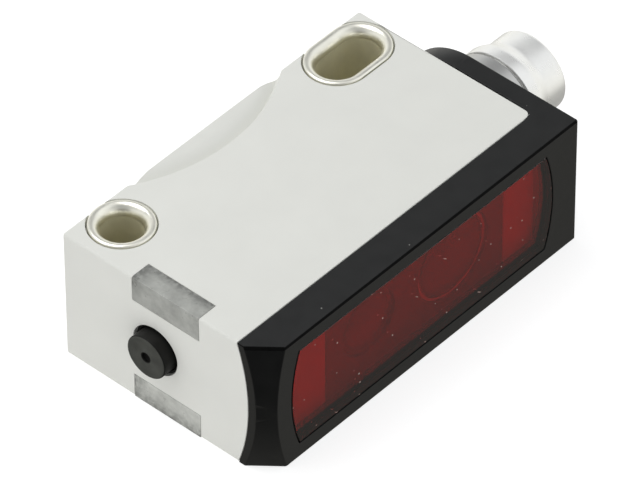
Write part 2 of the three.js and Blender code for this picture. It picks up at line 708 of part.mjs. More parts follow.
const finishes = {
  paleShell: { color: 0xdedfda, roughness: 0.5, metalness: 0 },
  blackShell: { color: 0x25292b, roughness: 0.5, metalness: 0 },
  redPane: { color: 0x7a1f1f, roughness: 0.08, metalness: 0 },
  frosted: { color: 0xb4b6b1, roughness: 0.4, metalness: 0 },
  nickel: { color: 0xd6d4c6, roughness: 0.22, metalness: 1 },
  tin: { color: 0xc3c5c6, roughness: 0.35, metalness: 1 },
  gold: { color: 0xd8b25a, roughness: 0.25, metalness: 1 },
  blackRubber: { color: 0x1b1c1c, roughness: 0.75, metalness: 0 },
  blackPlastic: { color: 0x161718, roughness: 0.55, metalness: 0 },
  naturalPlastic: { color: 0xcfcabb, roughness: 0.5, metalness: 0 },
  clearLens: { color: 0xe9eef0, roughness: 0.05, metalness: 0 },
  circuitBoard: { color: 0x1f5d3a, roughness: 0.55, metalness: 0 },
  chip: { color: 0x202124, roughness: 0.5, metalness: 0 },
  tantalum: { color: 0xc98a2d, roughness: 0.5, metalness: 0 },
  greenLed: { color: 0x9fd9a0, roughness: 0.3, metalness: 0 },
  yellowLed: { color: 0xe8c95a, roughness: 0.3, metalness: 0 },
  redLed: { color: 0xd06a60, roughness: 0.3, metalness: 0 },
};

function piece(name, solid, finish) {
  const mesh = new THREE.Mesh(geometryOf(solid), new THREE.MeshStandardMaterial(finishes[finish]));
  mesh.name = name;
  return mesh;
}

const sensor = new THREE.Group();
sensor.add(
  piece('housing_body', housingBody(), 'paleShell'),
  piece('front_cover', frontCover(), 'blackShell'),
  piece('window_pane', windowPane(), 'redPane'),
  piece('round_sleeve', mountingSleeve(roundSpan), 'nickel'),
  piece('slotted_sleeve', mountingSleeve(slotSpan), 'nickel'),
  piece('teach_button', teachButton(), 'blackRubber'),
  piece('button_seal', buttonSeal(), 'blackRubber'),
  piece('tact_switch', tactSwitch(), 'tin'),
  piece('switch_plunger', switchPlunger(), 'blackPlastic'),
  piece('upper_light_guide', upperLightGuide(), 'frosted'),
  piece('lower_light_guide', lowerLightGuide(), 'frosted'),
  piece('optics_frame', opticsFrame(), 'naturalPlastic'),
  piece('optics_carrier', opticsCarrier(), 'blackPlastic'),
  piece('emitter_lens', lens(EMITTER), 'clearLens'),
  piece('receiver_lens', lens(RECEIVER), 'clearLens'),
  piece('optics_board', opticsBoard(), 'circuitBoard'),
  piece('emitter_led', opticChip(EMITTER, EMITTER_CHIP), 'redLed'),
  piece('receiver_diode', opticChip(RECEIVER, RECEIVER_CHIP), 'chip'),
  piece('main_board', mainBoard(), 'circuitBoard'),
  piece('shield_can', shieldCan(), 'tin'),
  piece('plug_shell', plugShell(), 'nickel'),
  piece('plug_insulator', plugInsulator(), 'blackPlastic'),
  piece('plug_seal', plugSeal(), 'blackRubber'),
);

for (const [name, { centre, size, side, finish }] of Object.entries(COMPONENTS)) {
  sensor.add(piece(name, onBoard(centre, size, side), finish));
}

pinCentres().forEach((centre, k) => sensor.add(piece(`contact_pin_${k + 1}`, contactPin(centre), 'gold')));

for (const [sideName, side] of [['upper', UPPER], ['lower', LOWER]]) {
  for (const [colour, y] of Object.entries(STATUS_LED_Y)) {
    const solid = onBoard([STATUS_LED.x, y], STATUS_LED.size, side);
    sensor.add(piece(`status_led_${colour}_${sideName}`, solid, `${colour}Led`));
  }
}

export default sensor;
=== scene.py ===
"""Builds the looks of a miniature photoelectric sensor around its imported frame.

Every size below is in millimetres; finished pieces are scaled to metres. +X points to the plug, the
window looks along -Y and +Z is up through the wide side, as in the frame.
"""
import math

import bmesh
import bpy
from mathutils import Matrix, Quaternion, Vector


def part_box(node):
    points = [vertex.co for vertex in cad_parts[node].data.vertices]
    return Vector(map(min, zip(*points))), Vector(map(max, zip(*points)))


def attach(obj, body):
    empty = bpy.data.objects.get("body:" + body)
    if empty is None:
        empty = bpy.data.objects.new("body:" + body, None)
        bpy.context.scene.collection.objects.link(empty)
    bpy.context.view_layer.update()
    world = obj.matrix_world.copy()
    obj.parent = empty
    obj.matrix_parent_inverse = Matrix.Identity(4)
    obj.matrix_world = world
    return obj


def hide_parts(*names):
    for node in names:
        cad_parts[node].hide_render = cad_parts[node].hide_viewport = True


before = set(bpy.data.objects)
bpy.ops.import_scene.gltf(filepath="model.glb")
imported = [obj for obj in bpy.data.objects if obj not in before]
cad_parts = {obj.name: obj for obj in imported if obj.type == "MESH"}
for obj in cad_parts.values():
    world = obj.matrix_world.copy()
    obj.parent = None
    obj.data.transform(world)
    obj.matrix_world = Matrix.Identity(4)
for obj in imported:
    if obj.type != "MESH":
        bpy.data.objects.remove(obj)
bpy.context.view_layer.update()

bl_info = {
    "name": "Window Sensor Builder",
    "version": (1, 0, 0),
    "blender": (4, 5, 0),
    "location": "View3D > Sidebar > Sensor",
    "description": "Builds the shell, window, sleeves, button, plug and inside of a small light sensor",
    "category": "Object",
}

# ---------------------------------------------------------------- sizes from the frame

MM = 0.001


def mm_box(node):
    """Lowest and highest corner of a frame node in millimetres."""
    low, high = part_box(node)
    return low / MM, high / MM


BODY_LOW, BODY_HIGH = mm_box("housing_body")
COVER_LOW, COVER_HIGH = mm_box("front_cover")
PANE_LOW, PANE_HIGH = mm_box("window_pane")
ROUND_LOW, ROUND_HIGH = mm_box("round_sleeve")
SLOT_LOW, SLOT_HIGH = mm_box("slotted_sleeve")
BUTTON_LOW, BUTTON_HIGH = mm_box("teach_button")
SEAL_LOW, SEAL_HIGH = mm_box("button_seal")
GUIDE_LOW, GUIDE_HIGH = mm_box("upper_light_guide")
PLUG_LOW, PLUG_HIGH = mm_box("plug_shell")
OPTICS_FRAME_LOW, OPTICS_FRAME_HIGH = mm_box("optics_frame")
CARRIER_LOW, CARRIER_HIGH = mm_box("optics_carrier")

HEIGHT = BODY_HIGH.z
Z_MID = HEIGHT / 2
X_BUTTON_END = BODY_LOW.x
X_BODY_END = BODY_HIGH.x
X_PLUG_END = COVER_HIGH.x
Y_REAR = BODY_HIGH.y
Y_WINDOW = COVER_LOW.y
SEAM_Y_MID = BODY_LOW.y
SEAM_SAGITTA = 1.02
SEAM_Y_EDGE = SEAM_Y_MID + SEAM_SAGITTA

# Reach of cutters past what they cut, and how close counts as touching
OVERRUN = 1.0
NEAR = 0.01

# Walls and gaps
ELBOW_RADIUS = 1.0
WALL = 1.1
END_WALL = 1.2
FIT_GAP = 0.05
CAVITY_Y_REAR = 4.2
POCKET_X = (-9.8, 6.6)
POCKET_Y_REAR = 6.6
COVER_CAVITY_X = (-14.9, 14.05)
COVER_WALL_FRONT = 1.55
COVER_LEDGE = 0.5
COVER_EDGE_REACH = 0.22

# Crescent groove: (radius, depth) about a vertical axis behind the rear face
CRESCENT_X = -1.8
CRESCENT_Y = 22.95
CRESCENT_PROFILE = (
    (12.8, -0.02),
    (13.8, 0.08),
    (14.3, 0.15),
    (14.65, 0.36),
    (14.95, 0.6),
    (15.15, 0.7),
    (15.32, 0.6),
    (15.42, 0.3),
    (15.52, -0.05),
)

# Cut-back corner at the button end of the cover: how far it reaches along X and Y
BEVEL_MID = Vector((0.95, 1.27))
BEVEL_TOP = Vector((1.97, 2.35))
WCOVER_EDGE_REACH = 8.0

# Mounting sleeves
SLEEVE_Y = (ROUND_LOW.y + ROUND_HIGH.y) / 2
SLEEVE_FLANGE_RADIUS = (ROUND_HIGH.y - ROUND_LOW.y) / 2
SLEEVE_TUBE_RADIUS = 2.15
SLEEVE_BORE_RADIUS = 1.63
SLEEVE_CROWN_RADIUS = 2.3
SLEEVE_FLANGE_DEPTH = 0.55
SLEEVE_LIP_DEPTH = 0.95
SLEEVE_PROUD = 0.1
SLEEVE_RIM_DROP = 0.16
SLEEVE_GAP = 0.12
ROUND_SPAN = ((ROUND_LOW.x + ROUND_HIGH.x) / 2,) * 2
SLOT_SPAN = (SLOT_LOW.x + SLEEVE_FLANGE_RADIUS, SLOT_HIGH.x - SLEEVE_FLANGE_RADIUS)

# Window pane
PANE_BOW = 0.82
PANE_LEDGE = 0.3
PANE_GAP = 0.08
PANE_RISE = 0.05
PANE_SIDE_SLOPE = 0.3

# Button and the seal behind it
BUTTON_Y = (BUTTON_LOW.y + BUTTON_HIGH.y) / 2
BUTTON_RADIUS = 1.85
BUTTON_HOLE_RADIUS = 2.15
BUTTON_EDGE = 0.14
BUTTON_CENTRE = (BUTTON_Y, Z_MID)
BUTTON_FACE_X = BUTTON_LOW.x + 0.2
BUTTON_DIMPLE_RADIUS = 0.42
BUTTON_DIMPLE_DEPTH = 0.3
BUTTON_COLLAR_X = X_BUTTON_END + END_WALL + FIT_GAP
BUTTON_COLLAR_THICKNESS = 0.5
BUTTON_STEM_RADIUS = 0.8
SEAL_INNER_RADIUS = 1.9

# Light guides
GUIDE_Y = (-3.35, 3.15)
GUIDE_DEPTH_X = 1.8
GUIDE_GAP = 0.02
GUIDE_DEPTH_Z = 2.25
GUIDE_TONGUE_Y = (-2.6, 2.6)
GUIDE_TONGUE_Z = (9.4, 10.7)
GUIDE_FOOT_X = -12.0

# Plug
PLUG_AXIS_Y = (PLUG_LOW.y + PLUG_HIGH.y) / 2
PLUG_CENTRE = (PLUG_AXIS_Y, Z_MID)
PLUG_LIP_RADIUS = (PLUG_HIGH.y - PLUG_LOW.y) / 2
PLUG_COLLAR_RADIUS = 3.8
PLUG_BARREL_RADIUS = 3.4
PLUG_BORE_RADIUS = 2.95
PLUG_SHANK_RADIUS = 3.2
PLUG_FLANGE_RADIUS = 3.7
PLUG_FLANGE_LENGTH = 0.95
PLUG_GROOVE_RADIUS = 3.07
PLUG_GROOVE_X = (15.8, 16.4)
PLUG_CREASE_X = 19.87
PLUG_LIP_END_X = 20.78
PLUG_BARREL_X = 22.15
PIN_RADIUS = 0.5
PIN_TIP = 0.35
PIN_CIRCLE_RADIUS = 1.35
PIN_COUNT = 4
KEY_LENGTH = 2.5
KEY_WIDTH = 0.9
KEY_DEPTH = 0.5

# Optics
OPTICS_GAP = 0.04
CARRIER_FLANGE = 0.8
CARRIER_CORE_X = (-8.2, 9.2)
CARRIER_CORE_Z = (1.9, 10.1)
CARRIER_LEDGE = 0.5
CHIP_WINDOW_DEPTH = 0.75
LENS_FLANGE = 0.45
LENS_CROWN = 0.5
LENS_RING = 0.26

# Stage
FLOOR_RADIUS = 2500
FLOOR_DEPTH = 20
LAMP_PLACE = Vector((-60, 90, 260))
LAMP_SIZE = (220, 180)
CAMERA_AIM = Vector((-0.456, -0.16, Z_MID))
ABOVE_PLUG_END = Vector((0.42, -0.5, 0.76))
BEFORE_CUT_CORNER = Vector((-0.75, -0.6, -0.27))

# Steps of round shapes, and the angles from which an edge is rounded or shaded as sharp
SEAM_STEPS = 32
ARC_STEPS = 24
TURN_STEPS = 96
RING_STEPS = 288
SHARP_ANGLE = math.radians(40)
SMOOTH_ANGLE = math.radians(32)


# ---------------------------------------------------------------- mesh tools


def as_object(bm):
    """Links a bmesh to the scene as a closed work piece."""
    bmesh.ops.recalc_face_normals(bm, faces=bm.faces)
    mesh = bpy.data.meshes.new("work")
    bm.to_mesh(mesh)
    bm.free()
    obj = bpy.data.objects.new("work", mesh)
    bpy.context.scene.collection.objects.link(obj)
    return obj


def spot(axis, across, up, along):
    """A point from its two cross coordinates and its place along an axis."""
    return {
        "X": (along, across, up),
        "Y": (across, along, up),
        "Z": (across, up, along),
    }[axis]


def prism(axis, outline, limits):
    """An outline pushed along an axis. Outlines are (y, z), (x, z) or (x, y) for X, Y and Z."""
    bm = bmesh.new()
    rings = [[bm.verts.new(spot(axis, u, v, w)) for u, v in outline] for w in limits]
    for ring in rings:
        bm.faces.new(ring)
    for i in range(len(outline)):
        j = (i + 1) % len(outline)
        bm.faces.new((rings[0][i], rings[0][j], rings[1][j], rings[1][i]))
    return as_object(bm)


def block(x, y, z):
    """A box between two limits on each axis."""
    return prism("Z", [(x[0], y[0]), (x[1], y[0]), (x[1], y[1]), (x[0], y[1])], z)


def rod(axis, centre, radius, limits, steps=TURN_STEPS):
    """A round rod along an axis; centre gives its two cross coordinates."""
    return prism(axis, arc(centre, radius, 0, math.tau, steps)[:-1], limits)


def arc(centre, radius, start, end, steps):
    """Points on an arc, both ends included."""
    points = []
    for step in range(steps + 1):
        angle = start + (end - start) * step / steps
        points.append((centre[0] + radius * math.cos(angle), centre[1] + radius * math.sin(angle)))
    return points


def skin(bm, rings, closed):
    """Joins rings of vertices into a surface; a ring of one vertex is a point on the axis."""
    pairs = list(zip(rings, rings[1:]))
    if closed:
        pairs.append((rings[-1], rings[0]))
    for first, second in pairs:
        count = max(len(first), len(second))
        for i in range(count):
            j = (i + 1) % count
            if len(first) == 1:
                bm.faces.new((first[0], second[i], second[j]))
            elif len(second) == 1:
                bm.faces.new((first[i], first[j], second[0]))
            else:
                bm.faces.new((first[i], first[j], second[j], second[i]))


def turned(axis, centre, profile, steps=TURN_STEPS):
    """(radius, distance) pairs turned about an axis, ending on the axis or closed on themselves."""
    bm = bmesh.new()
    rings = []
    for radius, along in profile:
        if radius < NEAR:
            rings.append([bm.verts.new(spot(axis, centre[0], centre[1], along))])
        else:
            points = arc(centre, radius, 0, math.tau, steps)[:-1]
            rings.append([bm.verts.new(spot(axis, u, v, along)) for u, v in points])
    skin(bm, rings, closed=len(rings[0]) > 1)
    return as_object(bm)


def stadium(span, y, radius):
    """Outline of two half circles joined by straight sides along X."""
    quarter = math.pi / 2
    right = arc((span[1], y), radius, -quarter, quarter, ARC_STEPS * 2)
    left = arc((span[0], y), radius, quarter, 3 * quarter, ARC_STEPS * 2)
    return right + left


def lofted(profile, span, y, capped):
    """Stadium rings at (radius, z) pairs, either capped at both ends or closed on themselves."""
    bm = bmesh.new()
    rings = [[bm.verts.new((u, v, z)) for u, v in stadium(span, y, radius)] for radius, z in profile]
    skin(bm, rings, closed=not capped)
    if capped:
        bm.faces.new(rings[0])
        bm.faces.new(rings[-1])
    bmesh.ops.remove_doubles(bm, verts=bm.verts, dist=NEAR / 10)
    return as_object(bm)


def settle(obj):
    """Makes the result of an object's modifiers its own mesh."""
    depsgraph = bpy.context.evaluated_depsgraph_get()
    mesh = bpy.data.meshes.new_from_object(obj.evaluated_get(depsgraph))
    obj.modifiers.clear()
    old = obj.data
    obj.data = mesh
    bpy.data.meshes.remove(old)


def combine(base, operation, *tools):
    """Joins, cuts or intersects a work piece with tools, which are used up."""
    for tool in tools:
        modifier = base.modifiers.new("combine", "BOOLEAN")
        modifier.operation = operation
        modifier.solver = "EXACT"
        modifier.object = tool
        settle(base)
        mesh = tool.data
        bpy.data.objects.remove(tool)
        bpy.data.meshes.remove(mesh)
    return base


def cut(base, *tools):
    return combine(base, "DIFFERENCE", *tools)


def join(base, *tools):
    return combine(base, "UNION", *tools)


def common(base, tool):
    return combine(base, "INTERSECT", tool)


def round_edges(obj, radius_of, segments=4, sharp_angle=SHARP_ANGLE):
    """Rounds each sharp edge by the radius that radius_of gives for it."""
    bm = bmesh.new()
    bm.from_mesh(obj.data)
    bmesh.ops.remove_doubles(bm, verts=bm.verts, dist=NEAR / 20)
    layer = bm.edges.layers.float.get("bevel_weight_edge") or bm.edges.layers.float.new("bevel_weight_edge")
    radii = {}
    for edge in bm.edges:
        edge[layer] = 0
        if len(edge.link_faces) == 2 and edge.calc_face_angle(0) > sharp_angle:
            radii[edge] = radius_of(edge)
    widest = max(radii.values())
    for edge, radius in radii.items():
        edge[layer] = radius / widest
    bm.to_mesh(obj.data)
    bm.free()
    modifier = obj.modifiers.new("round", "BEVEL")
    modifier.limit_method = "WEIGHT"
    modifier.width = widest
    modifier.segments = segments
    modifier.use_clamp_overlap = False
    settle(obj)
    return obj


def middle_of(edge):
    return (edge.verts[0].co + edge.verts[1].co) / 2


def runs_along(edge, axis):
    way = edge.verts[1].co - edge.verts[0].co
    return abs(way[axis]) > 0.9 * way.length


def at(value, target):
    return abs(value - target) < NEAR


def finish(obj, name, body, material, nodes):
    """Scales a work piece to metres, smooths its shading and ties it to the frame."""
    bm = bmesh.new()
    bm.from_mesh(obj.data)
    bmesh.ops.remove_doubles(bm, verts=bm.verts, dist=NEAR / 20)
    bmesh.ops.dissolve_degenerate(bm, edges=bm.edges, dist=NEAR / 20)
    for layer in list(bm.edges.layers.float):
        bm.edges.layers.float.remove(layer)
    bm.transform(Matrix.Scale(MM, 4))
    bm.to_mesh(obj.data)
    bm.free()
    obj.name = name
    obj.data.name = name
    obj.data.shade_smooth()
    obj.data.set_sharp_from_angle(angle=SMOOTH_ANGLE)
    weighted = obj.modifiers.new("even shading", "WEIGHTED_NORMAL")
    weighted.keep_sharp = True
    obj.data.materials.clear()
    obj.data.materials.append(material)
    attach(obj, body)
    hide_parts(*nodes)


def paint(obj, material, chosen):
    """Gives the chosen faces of a finished piece a second finish."""
    obj.data.materials.append(material)
    for face in obj.data.polygons:
        if chosen(face):
            face.material_index = len(obj.data.materials) - 1


def dress_node(node, material):
    """Gives a carried-over frame node its finish."""
    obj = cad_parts[node]
    if not obj.material_slots:
        obj.data.materials.append(None)
    for place in obj.material_slots:
        place.link = "OBJECT"
        place.material = material


# ---------------------------------------------------------------- finishes


class Finish:
    """A material under construction: node and link helpers around one Principled shader."""

    def __init__(self, name):
        self.material = bpy.data.materials.new(name)
        self.material.use_nodes = True
        self.tree = self.material.node_tree
        self.shader = self.tree.nodes["Principled BSDF"]
        self.output = self.tree.nodes["Material Output"]
        coordinates = self.node("ShaderNodeTexCoord")
        self.coordinates = coordinates.outputs["Object"]
        self.normals = coordinates.outputs["Normal"]

    def node(self, kind, **values):
        made = self.tree.nodes.new(kind)
        for key, value in values.items():
            setattr(made, key, value)
        return made

    def link(self, source, target):
        self.tree.links.new(source, target)

    def feed(self, value, socket):
        """Links another node's output to a socket, or sets a plain value on it."""
        if hasattr(value, "links"):
            self.link(value, socket)
        else:
            socket.default_value = value

    def set(self, **values):
        for key, value in values.items():
            self.shader.inputs[key.replace("_", " ")].default_value = value

    def noise(self, size, detail=3.0, roughness=0.5, stretch=None):
        """Noise whose features are about size millimetres across, in the object's own space."""
        texture = self.node("ShaderNodeTexNoise")
        texture.inputs["Scale"].default_value = 1 / (size * MM)
        texture.inputs["Detail"].default_value = detail
        texture.inputs["Roughness"].default_value = roughness
        self.link(self.stretched(stretch), texture.inputs["Vector"])
        return texture.outputs["Fac"]

    def stretched(self, stretch):
        """The object's coordinates, scaled on each axis if stretch is given."""
        if stretch is None:
            return self.coordinates
        mapping = self.node("ShaderNodeMapping")
        mapping.inputs["Scale"].default_value = stretch
        self.link(self.coordinates, mapping.inputs["Vector"])
        return mapping.outputs["Vector"]

    def spread(self, source, low, high, start=0.3, end=0.7):
        """Maps a 0 to 1 pattern between two values."""
        mapped = self.node("ShaderNodeMapRange")
        mapped.inputs["From Min"].default_value = start
        mapped.inputs["From Max"].default_value = end
        mapped.inputs["To Min"].default_value = low
        mapped.inputs["To Max"].default_value = high
        self.link(source, mapped.inputs["Value"])
        return mapped.outputs["Result"]

    def blend(self, factor, first, second):
        """Mixes two colours, given as tuples or sockets, by a pattern."""
        mix = self.node("ShaderNodeMix", data_type="RGBA")
        self.link(factor, mix.inputs["Factor"])
        for socket, value in ((mix.inputs[6], first), (mix.inputs[7], second)):
            self.feed(value if hasattr(value, "links") else (*value[:3], 1), socket)
        return mix.outputs[2]

    def bump(self, height, depth, strength=1.0):
        """Raises the surface by a pattern, depth millimetres from its lowest to its highest."""
        bump = self.node("ShaderNodeBump")
        bump.inputs["Distance"].default_value = depth * MM
        bump.inputs["Strength"].default_value = strength
        self.link(height, bump.inputs["Height"])
        self.link(bump.outputs["Normal"], self.shader.inputs["Normal"])

    def flattened(self, tilt, turn, stretch):
        """Coordinates tilted flat, turned in that plane and stretched across it."""
        tilted = self.node("ShaderNodeMapping")
        tilted.inputs["Rotation"].default_value = (tilt, 0, turn)
        self.link(self.coordinates, tilted.inputs["Vector"])
        mapping = self.node("ShaderNodeMapping")
        mapping.inputs["Scale"].default_value = (1, stretch, 1)
        self.link(tilted.outputs["Vector"], mapping.inputs["Vector"])
        return mapping.outputs["Vector"]

    def maths(self, operation, first, second):
        """One step of arithmetic between two patterns or numbers."""
        step = self.node("ShaderNodeMath", operation=operation)
        for socket, value in zip(step.inputs, (first, second)):
            self.feed(value, socket)
        return step.outputs[0]

    def product(self, first, second):
        return self.maths("MULTIPLY", first, second)

    def either(self, first, second):
        """The stronger of two patterns."""
        return self.maths("MAXIMUM", first, second)

    def specks(self, tilt, spacing, radius, share, turn=0.0, stretch=1.0):
        """1 inside sparse, ragged dust specks on a flat face, at most one in each cell."""
        ragged = self.node("ShaderNodeTexNoise")
        ragged.inputs["Scale"].default_value = 1 / (0.07 * MM)
        self.link(self.coordinates, ragged.inputs["Vector"])
        wobble = self.node("ShaderNodeVectorMath", operation="MULTIPLY_ADD")
        self.link(ragged.outputs["Color"], wobble.inputs[0])
        wobble.inputs[1].default_value = (2 * radius * MM,) * 3
        self.link(self.flattened(tilt, turn, stretch), wobble.inputs[2])
        cells = self.node("ShaderNodeTexVoronoi", voronoi_dimensions="2D")
        cells.inputs["Scale"].default_value = 1 / (spacing * MM)
        self.link(wobble.outputs["Vector"], cells.inputs["Vector"])
        tone = self.node("ShaderNodeSeparateColor")
        self.link(cells.outputs["Color"], tone.inputs["Color"])
        reach = self.spread(tone.outputs["Green"], 0.3 * radius / spacing, radius / spacing, 0, 1)
        near = self.maths("LESS_THAN", cells.outputs["Distance"], reach)
        chosen = self.maths("LESS_THAN", tone.outputs["Red"], share)
        return self.product(near, chosen)

    def facing_up(self, pattern):
        """The pattern on upward faces only."""
        slope = self.node("ShaderNodeSeparateXYZ")
        self.link(self.normals, slope.inputs["Vector"])
        return self.product(pattern, self.maths("GREATER_THAN", slope.outputs["Z"], 0.95))

    def place(self, axis, start, end):
        """0 to 1 between two places in millimetres along an axis of the object."""
        split = self.node("ShaderNodeSeparateXYZ")
        self.link(self.coordinates, split.inputs["Vector"])
        return self.spread(split.outputs[axis], 0, 1, start * MM, end * MM)


def shade(colour, factor):
    """A colour made darker or lighter."""
    return tuple(min(1.0, channel * factor) for channel in colour[:3])


DUST = (0.3, 0.3, 0.28)


def moulded_plastic(name, colour, roughness, grain=0.12, depth=0.004, spread=0.04, dust=None):
    """Moulded plastic: faint cloudy tone, fine spark-eroded grain, uneven gloss and perhaps dust."""
    look = Finish(name)
    cloud = look.spread(look.noise(4.0), 0, 1)
    tone = look.blend(cloud, shade(colour, 1 - spread), shade(colour, 1 + spread))
    if dust:
        specks = look.facing_up(look.specks(0, spacing=1.3, radius=0.055, share=0.14))
        tone = look.blend(specks, tone, dust)
    look.link(tone, look.shader.inputs["Base Color"])
    look.link(
        look.spread(look.noise(1.5), roughness - 0.05, roughness + 0.05),
        look.shader.inputs["Roughness"],
    )
    look.bump(look.noise(grain, detail=4.0, roughness=0.6), depth)
    return look


def plated_metal(name, colour, roughness, grain=0.3, stretch=None, marking=0.002, metallic=1.0):
    """Plated metal with faint machining marks and smudges."""
    look = Finish(name)
    smudge = look.spread(look.noise(1.8, detail=4.0), 0, 1)
    look.link(
        look.blend(smudge, shade(colour, 0.94), shade(colour, 1.04)),
        look.shader.inputs["Base Color"],
    )
    marks = look.noise(grain, detail=4.0, stretch=stretch)
    look.link(look.spread(marks, roughness - 0.05, roughness + 0.07), look.shader.inputs["Roughness"])
    look.bump(marks, marking)
    look.set(Metallic=metallic)
    return look


def rubber(name, colour, roughness):
    """Soft black rubber: dull, with a velvety grain."""
    look = Finish(name)
    bloom = look.spread(look.noise(0.8, detail=4.0), 0, 1)
    look.link(
        look.blend(bloom, shade(colour, 0.8), shade(colour, 1.35)),
        look.shader.inputs["Base Color"],
    )
    look.link(
        look.spread(look.noise(0.4), roughness - 0.08, roughness + 0.08),
        look.shader.inputs["Roughness"],
    )
    look.bump(look.noise(0.09, detail=3.0), 0.006)
    look.set(Specular_IOR_Level=0.35)
    return look


def red_window(settings):
    """Clear red acrylic: dusty outside, and lamps reach the optics through it."""
    look = Finish("red acrylic")
    shader = look.shader
    upright = math.pi / 2
    round_specks = look.specks(upright, spacing=1.2, radius=0.07, share=0.2)
    scratches = look.specks(upright, spacing=0.8, radius=0.04, share=0.07, turn=0.9, stretch=0.12)
    specks = look.either(round_specks, scratches)
    smear = look.spread(look.noise(3.0, detail=5.0), 0.03, 0.1)
    look.link(look.blend(specks, settings.tint, (0.5, 0.33, 0.29)), shader.inputs["Base Color"])
    look.link(look.maths("SUBTRACT", 1.0, specks), shader.inputs["Transmission Weight"])
    look.link(smear, shader.inputs["Roughness"])
    look.set(IOR=1.49, Specular_IOR_Level=settings.gloss)
    through = look.node("ShaderNodeBsdfTransparent")
    through.inputs["Color"].default_value = (*settings.tint[:3], 1)
    lamps = look.node("ShaderNodeLightPath")
    mix = look.node("ShaderNodeMixShader")
    look.link(lamps.outputs["Is Shadow Ray"], mix.inputs["Fac"])
    look.link(shader.outputs["BSDF"], mix.inputs[1])
    look.link(through.outputs["BSDF"], mix.inputs[2])
    look.link(mix.outputs["Shader"], look.output.inputs["Surface"])
    return look


def frosted(name, colour, outward):
    """Frosted light guide: milky patches, with painted shade darkening it towards its edges sunk in the
    shell; outward is the way up.
    """
    look = Finish(name)
    milk = look.spread(look.noise(1.3, detail=5.0, roughness=0.65), 0, 1, 0.35, 0.65)
    tone = look.blend(milk, shade(colour, 0.82), shade(colour, 1.12))
    ragged = look.spread(look.noise(0.35, detail=4.0), 0.4, 1.0, 0.35, 0.6)
    # Painted shade: ragged darkening to 0.38 of the colour near the hidden inner edge, and near the far end
    # and the outer face (both together on the upper guide, either on the lower).
    buried_edge_shade = look.place("X", X_BUTTON_END + 1.0, X_BUTTON_END + 1.7)
    far_end = look.place("Y", GUIDE_Y[1] - 1.4, GUIDE_Y[1] - 0.1)
    outer = look.place("Z", Z_MID + outward * 4.4, Z_MID + outward * 5.9)
    corner = look.product(far_end, outer) if outward > 0 else look.either(far_end, outer)
    dark = look.product(look.either(buried_edge_shade, corner), ragged)
    look.link(
        look.blend(dark, tone, shade(colour, 0.38)),
        look.shader.inputs["Base Color"],
    )
    look.link(look.spread(look.noise(0.5), 0.25, 0.42), look.shader.inputs["Roughness"])
    look.bump(look.noise(0.2, detail=4.0), 0.006)
    look.set(Coat_Weight=0.3, Coat_Roughness=0.2)
    return look


# ---------------------------------------------------------------- settings


def length(name, description, value):
    return bpy.props.FloatProperty(
        name=name, description=description, default=value * MM, min=0, unit="LENGTH", precision=5
    )


def colour(name, description, value):
    return bpy.props.FloatVectorProperty(
        name=name, description=description, default=value, min=0, max=1, size=3, subtype="COLOR"
    )


def factor(name, description, value):
    return bpy.props.FloatProperty(
        name=name, description=description, default=value, min=0, max=1, subtype="FACTOR"
    )


def angle(name, description, value):
    return bpy.props.FloatProperty(
        name=name, description=description, default=math.radians(value), subtype="ANGLE"
    )


class StageSettings(bpy.types.PropertyGroup):
    floor_colour: colour("Floor Colour", "Colour of the pale floor", (0.45, 0.45, 0.45))
    floor_glow: factor("Floor Glow", "Light the floor gives off like a light table", 0.75)
    top_sky: factor("Top Sky", "Brightness of the sky overhead", 0.35)
    horizon: factor("Horizon", "Brightness of the pale walls all round", 0.95)
    low_sky: factor("Low Sky", "Brightness mirrored from below the horizon", 0.27)
    bright_panel: factor("Bright Panel", "Brightness of the panel above the plug end", 1.0)
    dark_corner: factor("Dark Corner", "Brightness mirrored by the cut-back corner", 0.02)
    low_tone: colour("Low Tone", "Tint of the light mirrored from below", (1.0, 0.98, 0.9))
    high_tone: colour("High Tone", "Tint of the light from above", (0.97, 0.985, 1.0))
    key_power: bpy.props.FloatProperty(
        name="Key Power", description="Power of the overhead lamp", default=0.37, min=0, unit="POWER"
    )
    camera_turn: angle("Camera Turn", "Camera's way round the sensor", -48.017)
    camera_rise: angle("Camera Rise", "Camera's height above the horizon", 43.499)
    camera_roll: angle("Camera Roll", "Camera's roll about its own axis", -0.238)
    camera_distance: length("Camera Distance", "From the camera to the sensor", 543.41)
    camera_lens: bpy.props.FloatProperty(
        name="Lens", description="Focal length of the camera", default=417.17, unit="CAMERA"
    )


class HousingSettings(bpy.types.PropertyGroup):
    shell_colour: colour("Shell Colour", "Colour of the pale shell", (0.75, 0.752, 0.71))
    edge_radius: length("Edge Radius", "Rounding of the long outer edges", 0.22)
    corner_radius: length("Corner Radius", "Rounding of the upright rear corners", 0.22)
    elbow_radius: length("Elbow Radius", "Rounding inside the cover's elbow", ELBOW_RADIUS)
    rim_radius: length("Rim Radius", "Rounding of holes and pockets", 0.05)


class CoverSettings(bpy.types.PropertyGroup):
    shell_colour: colour("Shell Colour", "Colour of the black cover", (0.0045, 0.0048, 0.0048))
    edge_radius: length("Edge Radius", "Rounding of the outer edges", 0.14)
    brow_radius: length("Brow Radius", "Rounding of the long edge above the window", 0.2)
    rim_radius: length("Rim Radius", "Rounding of the window rebate and cut-back corner", 0.06)


class WindowSettings(bpy.types.PropertyGroup):
    tint: colour("Tint", "Colour of light that passes the pane", (0.57, 0.02, 0.016))
    gloss: factor("Gloss", "How strongly the pane mirrors", 0.5)
    edge_radius: length("Edge Radius", "Rounding of the pane's outer edge", 0.08)


class SleeveSettings(bpy.types.PropertyGroup):
    plating: colour("Plating", "Colour of the nickel plating", (0.93, 0.915, 0.82))
    proud: length("Proud", "How far the rolled lip stands above the shell", SLEEVE_PROUD)


